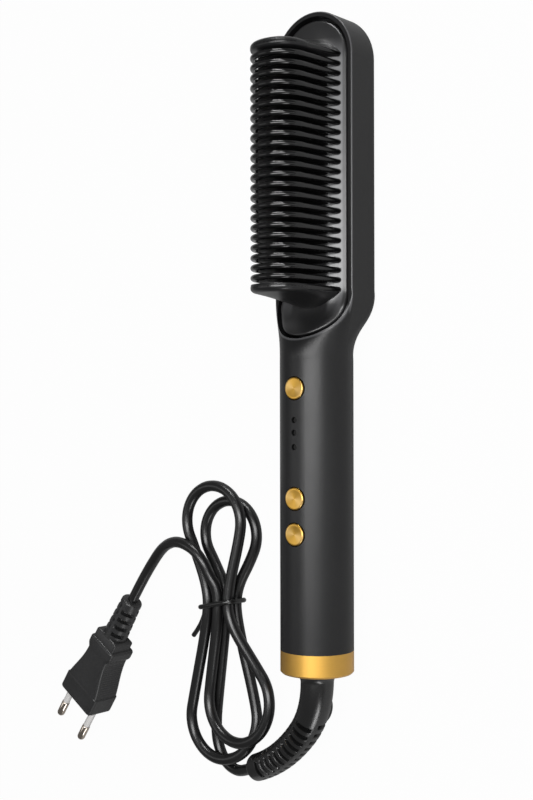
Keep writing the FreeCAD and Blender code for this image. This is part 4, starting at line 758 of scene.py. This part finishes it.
def boot_line():
    """The boot's line and its length, in metres: straight out of the collar, then two bends that dip to the table."""
    whole = FIRST_BEND + SECOND_BEND
    reach = (FIRST_RADIUS * (1 - math.cos(FIRST_BEND))
             + SECOND_RADIUS * (math.cos(FIRST_BEND) - math.cos(whole)))
    dip = math.asin((COLLAR_Z - MOUTH_Z) / reach)
    away = Vector((-math.cos(dip), 0, -math.sin(dip)))
    length = BOOT_STRAIGHT + FIRST_RADIUS * FIRST_BEND + SECOND_RADIUS * SECOND_BEND
    line = []
    for index in range(BOOT_POINTS):
        travel = length * index / (BOOT_POINTS - 1)
        turn = min(max(travel - BOOT_STRAIGHT, 0.0) / FIRST_RADIUS, FIRST_BEND)
        last = turn + max(travel - BOOT_STRAIGHT - FIRST_RADIUS * FIRST_BEND, 0.0) / SECOND_RADIUS
        aside = FIRST_RADIUS * (1 - math.cos(turn)) + SECOND_RADIUS * (math.cos(turn) - math.cos(last))
        forward = (min(travel, BOOT_STRAIGHT) + FIRST_RADIUS * math.sin(turn)
                   + SECOND_RADIUS * (math.sin(last) - math.sin(turn)))
        line.append((Vector((0, COLLAR_Y - forward, COLLAR_Z)) + away * aside) * MM)
    return line, length * MM


# Operators


class BRUSH_OT_stage(bpy.types.Operator):
    """Camera at the photograph's angle, white floor and soft lamps"""

    bl_idname = "brush.stage"
    bl_label = "Stage"

    def execute(self, context):
        scene = context.scene
        scene.view_settings.view_transform = "Standard"
        self.set_camera(scene)
        self.set_floor(scene)
        self.set_world(scene)
        for name, lamp in LAMPS.items():
            self.set_lamp(scene, name, *lamp)
        return {"FINISHED"}

    def set_camera(self, scene):
        out = Vector((math.sin(VIEW_TURN), 0, math.cos(VIEW_TURN)))
        across = Vector((math.cos(VIEW_TURN), 0, -math.sin(VIEW_TURN)))
        along = Vector((0, 1, 0))
        ahead = -out * math.cos(VIEW_YAW) - across * math.sin(VIEW_YAW)
        right = across * math.cos(VIEW_YAW) - out * math.sin(VIEW_YAW)
        look = ahead * math.cos(VIEW_PITCH) - along * math.sin(VIEW_PITCH)
        above = along * math.cos(VIEW_PITCH) + ahead * math.sin(VIEW_PITCH)
        side = right * math.cos(VIEW_ROLL) + above * math.sin(VIEW_ROLL)
        top = above * math.cos(VIEW_ROLL) - right * math.sin(VIEW_ROLL)
        lens = bpy.data.cameras.new("photo camera")
        lens.lens = SENSOR * FOCAL_PIXELS / IMAGE_HEIGHT
        lens.sensor_width = SENSOR
        lens.clip_start = 0.01
        camera = bpy.data.objects.new("photo camera", lens)
        turned = Matrix((side, top, -look)).transposed().to_4x4()
        turned.translation = VIEW_TARGET + out * VIEW_DISTANCE
        camera.matrix_world = turned
        scene.collection.objects.link(camera)
        scene.camera = camera

    def set_floor(self, scene):
        finish, tree, shader = bare_material("white floor")
        tree.nodes.remove(shader)
        path = tree.nodes.new("ShaderNodeLightPath")
        seen = maths(tree, "MAXIMUM", path.outputs["Is Camera Ray"], path.outputs["Is Transmission Ray"])
        plain = add_node(tree, "ShaderNodeBsdfDiffuse", {"Color": colour([FLOOR_TONE] * 3)})
        glow = add_node(tree, "ShaderNodeEmission", {"Color": (1, 1, 1, 1)})
        mixed = add_node(tree, "ShaderNodeMixShader",
                         {0: seen * FLOOR_GLOW, 1: plain.outputs[0], 2: glow.outputs[0]})
        feed(tree, tree.nodes["Material Output"].inputs[0], mixed.outputs[0])
        mesh = bpy.data.meshes.new("floor")
        corners = [(FLOOR_REACH * x, FLOOR_REACH * y, 0) for x, y in ((-1, -1), (1, -1), (1, 1), (-1, 1))]
        mesh.from_pydata(corners, [], [(0, 1, 2, 3)])
        mesh.materials.append(finish)
        floor = bpy.data.objects.new("floor", mesh)
        scene.collection.objects.link(floor)

    def set_world(self, scene):
        scene.world = bpy.data.worlds.new("studio")
        scene.world.use_nodes = True
        tree = scene.world.node_tree
        sky = tree.nodes["Background"].inputs
        path = tree.nodes.new("ShaderNodeLightPath")
        feed(tree, sky["Color"], (1, 1, 1, 1))
        feed(tree, sky["Strength"], maths(tree, "MAXIMUM", path.outputs["Is Camera Ray"], WORLD_LIGHT))

    def set_lamp(self, scene, name, place, aim, extent, power):
        data = bpy.data.lights.new(name, "AREA")
        data.shape = "RECTANGLE"
        data.size, data.size_y = extent
        data.energy = power
        lamp = bpy.data.objects.new(name, data)
        lamp.location = place
        lamp.rotation_mode = "QUATERNION"
        lamp.rotation_quaternion = (Vector(aim) - Vector(place)).to_track_quat("-Z", "Y")
        scene.collection.objects.link(lamp)


class BRUSH_OT_finishes(bpy.types.Operator):
    """Give every CAD node its finish"""

    bl_idname = "brush.finishes"
    bl_label = "Finishes"

    def execute(self, context):
        make_finishes(context.scene.brush_finishes)
        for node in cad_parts.values():
            slot = node.data.materials[0].name.split(".")[0]
            if slot not in FINISHES:
                raise RuntimeError(f"no finish for {slot}")
            node.data.materials[0] = FINISHES[slot]
        return {"FINISHED"}


class BRUSH_OT_cord(bpy.types.Operator):
    """Mains cord on one smooth line from the boot through the hank to the plug"""

    bl_idname = "brush.cord"
    bl_label = "Cord"

    def execute(self, context):
        points = [*map(Vector, LEAD_ROUTE), *hank_points(), *map(Vector, TAIL_ROUTE)]
        data = nurbs("mains_cord", points, context.scene.brush_cord.diameter)
        data.materials.append(FINISHES["cord_rubber"])
        cord = bpy.data.objects.new("mains_cord", data)
        context.scene.collection.objects.link(cord)
        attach(cord, "cord")
        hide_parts("cord_lead", "cord_hank", "cord_tail")
        return {"FINISHED"}


class BRUSH_OT_tie(bpy.types.Operator):
    """Wire tie round the hank, with its two ends twisted together"""

    bl_idname = "brush.tie"
    bl_label = "Wire tie"

    def execute(self, context):
        middle = sum(TIE_SIDES) / 2
        route = []
        for side, aside, along, height in TIE_ROUTE:
            x = TIE_SIDES[side] + aside
            route.append((x, WAIST_Y + along + TIE_SLANT * (x - middle), height))
        mesh = plain_mesh(nurbs("tie line", route, context.scene.brush_cord.tie))
        add_piece("wire_tie", mesh, "cord", "tie_black", "cord_tie")
        return {"FINISHED"}


class BRUSH_OT_comb(bpy.types.Operator):
    """Comb guard: a row of hoops with a swelling cap at each end"""

    bl_idname = "brush.comb"
    bl_label = "Comb guard"

    def execute(self, context):
        sizes = context.scene.brush_comb
        leg = (sizes.width - sizes.wire) / 2
        top = sizes.top - sizes.wire / 2
        line = [(x, sizes.first_row, z) for x, z in ((-leg, sizes.foot), (-leg, top), (leg, top), (leg, sizes.foot))]
        hoops = grow(hoop_row_tree(FINISHES["comb_black"]), line,
                     {"Count": sizes.count, "Pitch": sizes.pitch, "Wire": sizes.wire,
                      "Bend": sizes.corner - sizes.wire / 2})
        self.spread(sizes, hoops)
        add_piece("comb_hoops", hoops, "brush", "comb_black", "comb_guard", sharp=50)
        last_row = sizes.first_row + sizes.pitch * (sizes.count - 1)
        satin = FINISHES["cap_black"]
        add_piece("comb_cap_low", self.cap(sizes, sizes.first_row, -1), "brush", "comb_black", finish=satin)
        add_piece("comb_cap_top", self.cap(sizes, last_row, 1), "brush", "comb_black", finish=satin)
        return {"FINISHED"}

    def outline(self, sizes, inset):
        """The hoop's outer outline drawn in by inset: up the left side, over the top and down the right."""
        side_steps, top_steps, least_bend = 12, 16, 0.0004
        width, top = sizes.width / 2 - inset, sizes.top - inset
        bend = max(sizes.corner - inset, least_bend)
        rise = top - bend - sizes.foot
        spots = [(-width, sizes.foot + rise * step / side_steps) for step in range(side_steps + 1)]
        steps = range(1, side_steps + 1)
        for step in steps:
            angle = math.pi - math.pi / 2 * step / side_steps
            spots.append((-width + bend + bend * math.cos(angle), top - bend + bend * math.sin(angle)))
        for step in range(1, top_steps + 1):
            spots.append((-width + bend + (2 * width - 2 * bend) * step / top_steps, top))
        for step in steps:
            angle = math.pi / 2 - math.pi / 2 * step / side_steps
            spots.append((width - bend + bend * math.cos(angle), top - bend + bend * math.sin(angle)))
        return spots + [(width, top - bend - rise * step / side_steps) for step in steps]

    def cap(self, sizes, row, outward):
        """A closed cap with a rounded rim, as rings of the hoop's outline drawn in step by step."""
        half = sizes.width / 2
        edge = sizes.wire / 2
        rim, seat = 0.0021, 0.2
        insets = [0.0, 0.0001, 0.0003, 0.0006, 0.0010, 0.0015, rim, 0.0028, 0.004, 0.006, 0.008, 0.010, 0.0115, 0.0124]

        def swell(x, z):
            share = min(max((z - sizes.tray) / (sizes.top - sizes.tray), 0.0), 1.0)
            crown = sizes.bulge + (sizes.crest - sizes.bulge) * share
            return edge + (crown - edge * (1 - seat)) * (1 - (x / half) ** 2)

        spots = self.outline(sizes, 0.0)
        count = len(spots)
        verts = []
        for narrow, inwards in ((0.97, 1.0), (1.0, 0.3)):
            verts += [(x * narrow, row - outward * edge * inwards, z) for x, z in spots]
        for inset in insets:
            fall = 1.0 if inset >= rim else math.sqrt(1 - (1 - inset / rim) ** 2)
            for x, z in self.outline(sizes, inset):
                verts.append((x, row + outward * (swell(x, z) * fall + edge * seat * (1 - fall)), z))
        rows = len(insets) + 2
        faces = grid_faces(rows, count)
        faces.append(tuple(range(count)))
        faces.append(tuple(range((rows - 1) * count, rows * count)))
        starts = [level * count for level in range(rows)]
        faces.append(tuple(starts + [start + count - 1 for start in reversed(starts)]))
        mesh = mesh_from(verts, faces)
        self.spread(sizes, mesh)
        return mesh

    def spread(self, sizes, mesh):
        """Lean the legs outwards, more and more towards the tray."""
        shoulder, lean = sizes.top - sizes.corner, 1.4
        for vert in mesh.vertices:
            share = max(shoulder - vert.co.z, 0.0) / (shoulder - sizes.tray)
            vert.co.x *= 1.0 + 2 * sizes.splay / sizes.width * share ** lean


class BRUSH_OT_tray(bpy.types.Operator):
    """Crowned tray that the hoops stand on, with sloping sides and a rounded edge"""

    bl_idname = "brush.tray"
    bl_label = "Comb tray"

    def execute(self, context):
        ground = BVHTree.FromPolygons(*mesh_parts(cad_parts["comb_tray"].data))
        inwards = (TRAY_LAST_INSET - TRAY_INSET) / (TRAY_RINGS - 1)
        steps = TRAY_EDGE + [(TRAY_INSET + inwards * index, 0.0) for index in range(TRAY_RINGS)]
        rings = [[(x * MM, y * MM, (self.height(ground, x, y) - drop) * MM) for x, y in self.outline(inset)]
                 for inset, drop in steps]
        add_piece("crowned_tray", mesh_from(*block(rings)), "brush", "tray_black", "comb_tray", sharp=60)
        return {"FINISHED"}

    def outline(self, inset):
        """The edge of the tray drawn in by inset: a round top, straight sides and a toe, in millimetres."""
        top_steps, side_steps, toe_steps, least_toe = 48, 60, 40, 0.3
        half = TRAY_HALF - inset
        toe = min(max(TRAY_TOE - inset, least_toe), half)
        side = HEAD_TOP - HEAD_TOE
        ring = []
        for step in range(top_steps):
            angle = math.pi * step / top_steps
            ring.append((half * math.cos(angle), HEAD_TOP + half * math.sin(angle)))
        ring += [(-half, HEAD_TOP - side * step / side_steps) for step in range(side_steps)]
        for step in range(toe_steps):
            angle = math.pi + math.pi * step / toe_steps
            ring.append((half * math.cos(angle), HEAD_TOE + toe * math.sin(angle)))
        return ring + [(half, HEAD_TOE + side * step / side_steps) for step in range(side_steps)]

    def height(self, ground, x, y):
        """The height of the tray: flat in the middle, sloping to its sides, and on the CAD tray's neck at the toe."""
        edge, crown_rise, slope_end, side_slope, top_slope, top_run = 17.9, 3.7, 17.2, 8.4, 15.0, 8.0
        neck_start, neck_run, crown_start, crown_run = 23.0, 8.0, 10.0, 14.0
        cad_top, cad_flat, cad_round, overhead = 19.5, 11.0, 7.0, 60.0
        reach = math.hypot(x, max(y - HEAD_TOP, 0.0))
        slope = side_slope + (top_slope - side_slope) * min(max((y - HEAD_TOP) / top_run, 0.0), 1.0)
        crown = edge + crown_rise * ease((slope_end - reach) / slope)
        flat = cad_top
        if reach >= cad_flat:
            flat = cad_top - cad_round + math.sqrt(max(cad_round ** 2 - (reach - cad_flat) ** 2, 0.0))
        base = flat
        if y < neck_start:
            hit = ground.ray_cast(Vector((x, y, overhead)) * MM, Vector((0, 0, -1)))[0]
            if hit is not None:
                base += (hit.z / MM - flat) * ease((neck_start - y) / neck_run)
        return base + (crown - flat) * ease((y - crown_start) / crown_run)


class BRUSH_OT_buttons(bpy.types.Operator):
    """Three gold push buttons with spun faces"""

    bl_idname = "brush.buttons"
    bl_label = "Push buttons"

    def execute(self, context):
        face = [(0.0, 0.00022), (0.0012, 0.0002), (0.0024, 0.00014), (0.0036, 0.00005), (0.0042, 0.0),
                (0.00448, 0.00004), (0.00468, 0.00016), (0.00478, 0.00036), (0.0048, 0.0006)]
        radius, flange, thickness = 0.0048, 0.0056, 0.001
        for name in ("power", "plus", "minus"):
            low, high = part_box(f"button_{name}")
            middle = (low + high) / 2
            profile = [(reach, high.z - drop) for reach, drop in face]
            profile += [(radius, low.z + thickness), (flange, low.z + thickness), (flange, low.z), (0.0, low.z)]
            verts, faces = moved(lathe(profile, 72), Matrix.Translation((middle.x, middle.y, 0)))
            finish = spun_gold(f"spun gold {name}", context.scene.brush_finishes.gold, (middle.x, middle.y, high.z))
            add_piece(f"push_button_{name}", mesh_from(verts, faces), f"{name}_button", "gold_metal",
                      f"button_{name}", finish=finish, sharp=35)
        return {"FINISHED"}


class BRUSH_OT_boot(bpy.types.Operator):
    """Curved cord boot with rows of slots and a small hang loop"""

    bl_idname = "brush.boot"
    bl_label = "Cord boot"

    def execute(self, context):
        sizes = context.scene.brush_cord
        line, length = boot_line()
        sleeve = grow(slotted_sleeve_tree(FINISHES["boot_rubber"]), line,
                      BOOT_SLOTS | {"Start": sizes.boot_start, "End": sizes.boot_end, "Length": length,
                                    "Width": sizes.slot_width})
        verts, faces = joined([mesh_parts(sleeve), self.hang_loop(line)])
        add_piece("slotted_boot", mesh_from(verts, faces), "cord", "boot_rubber", "cord_boot", sharp=60)
        return {"FINISHED"}

    def hang_loop(self, line):
        """A ring under the neck of the boot, to hang the brush by."""
        radius, wire, y, z, around, sides = 0.0056, 0.0013, -0.1595, 0.009, 40, 12
        x = min(line, key=lambda spot: abs(spot.y - y)).x
        verts = []
        for step in range(around):
            turn = 2 * math.pi * step / around
            for side in range(sides):
                tilt = 2 * math.pi * side / sides
                reach = radius + wire * math.cos(tilt)
                verts.append((x + wire * math.sin(tilt), y + reach * math.cos(turn), z + reach * math.sin(turn)))
        last = (around - 1) * sides
        faces = grid_faces(around, sides, True)
        faces += [(last + side, last + (side + 1) % sides, (side + 1) % sides, side) for side in range(sides)]
        return verts, faces


class BRUSH_OT_plug(bpy.types.Operator):
    """Plug with waisted sides, slotted strain relief, two round pins and their sleeves"""

    bl_idname = "brush.plug"
    bl_label = "Plug"

    def execute(self, context):
        place = Matrix.Translation(Vector(TAIL_ROUTE[-1]) * MM) @ Matrix.Rotation(PLUG_TURN, 4, "Z")
        place = place @ Matrix.Scale(MM, 4)
        shell = moved(joined([self.body(), self.collar()]), place)
        add_piece("plug_shell", mesh_from(*shell), "cord", "plug_black", "plug_body", sharp=40)
        line = [place @ Vector((0, -RELIEF_LENGTH + RELIEF_LENGTH * index / (RELIEF_POINTS - 1), 0))
                for index in range(RELIEF_POINTS)]
        relief = grow(slotted_sleeve_tree(FINISHES["plug_black"]), line, RELIEF_SLOTS)
        add_piece("relief_sleeve", mesh_from(*mesh_parts(relief)), "cord", "plug_black", "plug_relief", sharp=60)
        radius, straight = 2.0, 17.0
        tip = [(0.0, -6.0), (1.5, -6.0), (1.5, 10.0), (1.85, 10.0), (radius, 10.2), (radius, straight)]
        tip += [(radius * math.cos(math.radians(angle)), straight + radius * math.sin(math.radians(angle)))
                for angle in range(10, 91, 10)]
        skin = [(1.52, -0.3), (1.70, -0.3), (1.78, 0.0), (1.75, 0.3), (1.75, 9.6), (1.68, 9.9), (1.52, 10.0),
                (1.52, -0.3)]
        upright = Matrix.Rotation(math.radians(90), 4, "X")
        spots = [place @ Matrix.Translation((side, PLUG_FACE, 0)) @ upright for side in (-PIN_ASIDE, PIN_ASIDE)]
        for name, profile, slot, node in (("round_pins", tip, "pin_metal", "plug_pins"),
                                          ("grey_sleeves", skin, "sleeve_grey", "pin_sleeves")):
            pair = joined([moved(lathe(profile, 40), spot) for spot in spots])
            add_piece(name, mesh_from(*pair), "cord", slot, node, sharp=40)
        return {"FINISHED"}

    def ring(self, y, wide, low, high, bend, rib=0.0):
        """A rounded rectangle across the plug, with its sides drawn in by the depth of a rib."""
        rib_margin = 0.6
        spots = []
        for corner, (side, z) in enumerate(((1, high - bend), (-1, high - bend), (-1, low + bend), (1, low + bend))):
            for step in range(7):
                angle = math.pi / 2 * (corner + step / 6)
                spots.append(((wide - bend) * side + bend * math.cos(angle), y, z + bend * math.sin(angle)))
            if corner % 2:
                ends = [high - bend - rib_margin, low + bend + rib_margin]
                for level in ends if corner == 1 else reversed(ends):
                    spots.append(((wide - rib) * side, y, level))
        return spots

    def body(self):
        """The body from its front face to the collar, with ribbed hollows for finger and thumb."""
        front_end, front, step_in, step_run, waist, waist_run, waist_power = 10.0, 12.5, 0.7, 0.5, 4.2, 21.0, 1.3
        shoulder, swell, swell_run = 31.0, 1.5, 3.0
        ribs_start, ribs_end, rib_pitch, rib_depth = 12.0, 29.5, 1.25, 0.2
        rings = []
        for index in range(PLUG_RINGS):
            y = PLUG_LENGTH * index / (PLUG_RINGS - 1)
            wide = front
            if y >= front_end:
                share = min((y - front_end) / waist_run, 1.0)
                wide -= step_in * min((y - front_end) / step_run, 1.0)
                wide -= waist * math.sin(share * math.pi / 2) ** waist_power
            if y > shoulder:
                wide += swell * math.sin(min((y - shoulder) / swell_run, 1.0) * math.pi / 2)
            rib = 0.0
            if ribs_start < y < ribs_end:
                rib = rib_depth * (1 - math.cos(2 * math.pi * (y - ribs_start) / rib_pitch)) / 2
            edge = min(y, PLUG_LENGTH - y, PLUG_ROUND)
            fall = PLUG_ROUND - math.sqrt(max(PLUG_ROUND ** 2 - (PLUG_ROUND - edge) ** 2, 0.0))
            rings.append(self.ring(PLUG_FACE + y, wide - fall, PLUG_LOW + fall, PLUG_HIGH - fall, PLUG_BEND, rib))
        return block(rings)

    def collar(self):
        """The square collar that the strain relief comes out of."""
        half, tall, bend = 7.75, 6.3, 1.0
        steps = ((-27.6, 0.0), (-23.2, 0.0), (-22.7, 0.12), (-22.3, 0.45), (-22.1, 0.9))
        return block([self.ring(y, half - shrink, -tall + shrink, tall - shrink, bend) for y, shrink in steps])


class BRUSH_PT_panel(bpy.types.Panel):
    """Lists the steps that build the brush"""

    bl_idname = "BRUSH_PT_panel"
    bl_label = "Hair straightening brush"
    bl_space_type = "VIEW_3D"
    bl_region_type = "UI"
    bl_category = "Brush"

    def draw(self, context):
        for operator in OPERATORS:
            self.layout.operator(operator.bl_idname)
        for group in (context.scene.brush_comb, context.scene.brush_cord, context.scene.brush_finishes):
            box = self.layout.box()
            for label in group.__annotations__:
                box.prop(group, label)


GROUP_CLASSES = (CombSizes, CordSizes, Finishes)
OPERATORS = (BRUSH_OT_stage, BRUSH_OT_finishes, BRUSH_OT_cord, BRUSH_OT_tie, BRUSH_OT_comb, BRUSH_OT_tray,
             BRUSH_OT_buttons, BRUSH_OT_boot, BRUSH_OT_plug)


def register():
    for item in GROUP_CLASSES + OPERATORS + (BRUSH_PT_panel,):
        bpy.utils.register_class(item)
    bpy.types.Scene.brush_comb = PointerProperty(type=CombSizes)
    bpy.types.Scene.brush_cord = PointerProperty(type=CordSizes)
    bpy.types.Scene.brush_finishes = PointerProperty(type=Finishes)


def unregister():
    del bpy.types.Scene.brush_finishes
    del bpy.types.Scene.brush_cord
    del bpy.types.Scene.brush_comb
    for item in reversed(GROUP_CLASSES + OPERATORS + (BRUSH_PT_panel,)):
        bpy.utils.unregister_class(item)


def main():
    register()
    for operator in OPERATORS:
        group, name = operator.bl_idname.split(".")
        getattr(getattr(bpy.ops, group), name)()


if __name__ == "__main__":
    main()
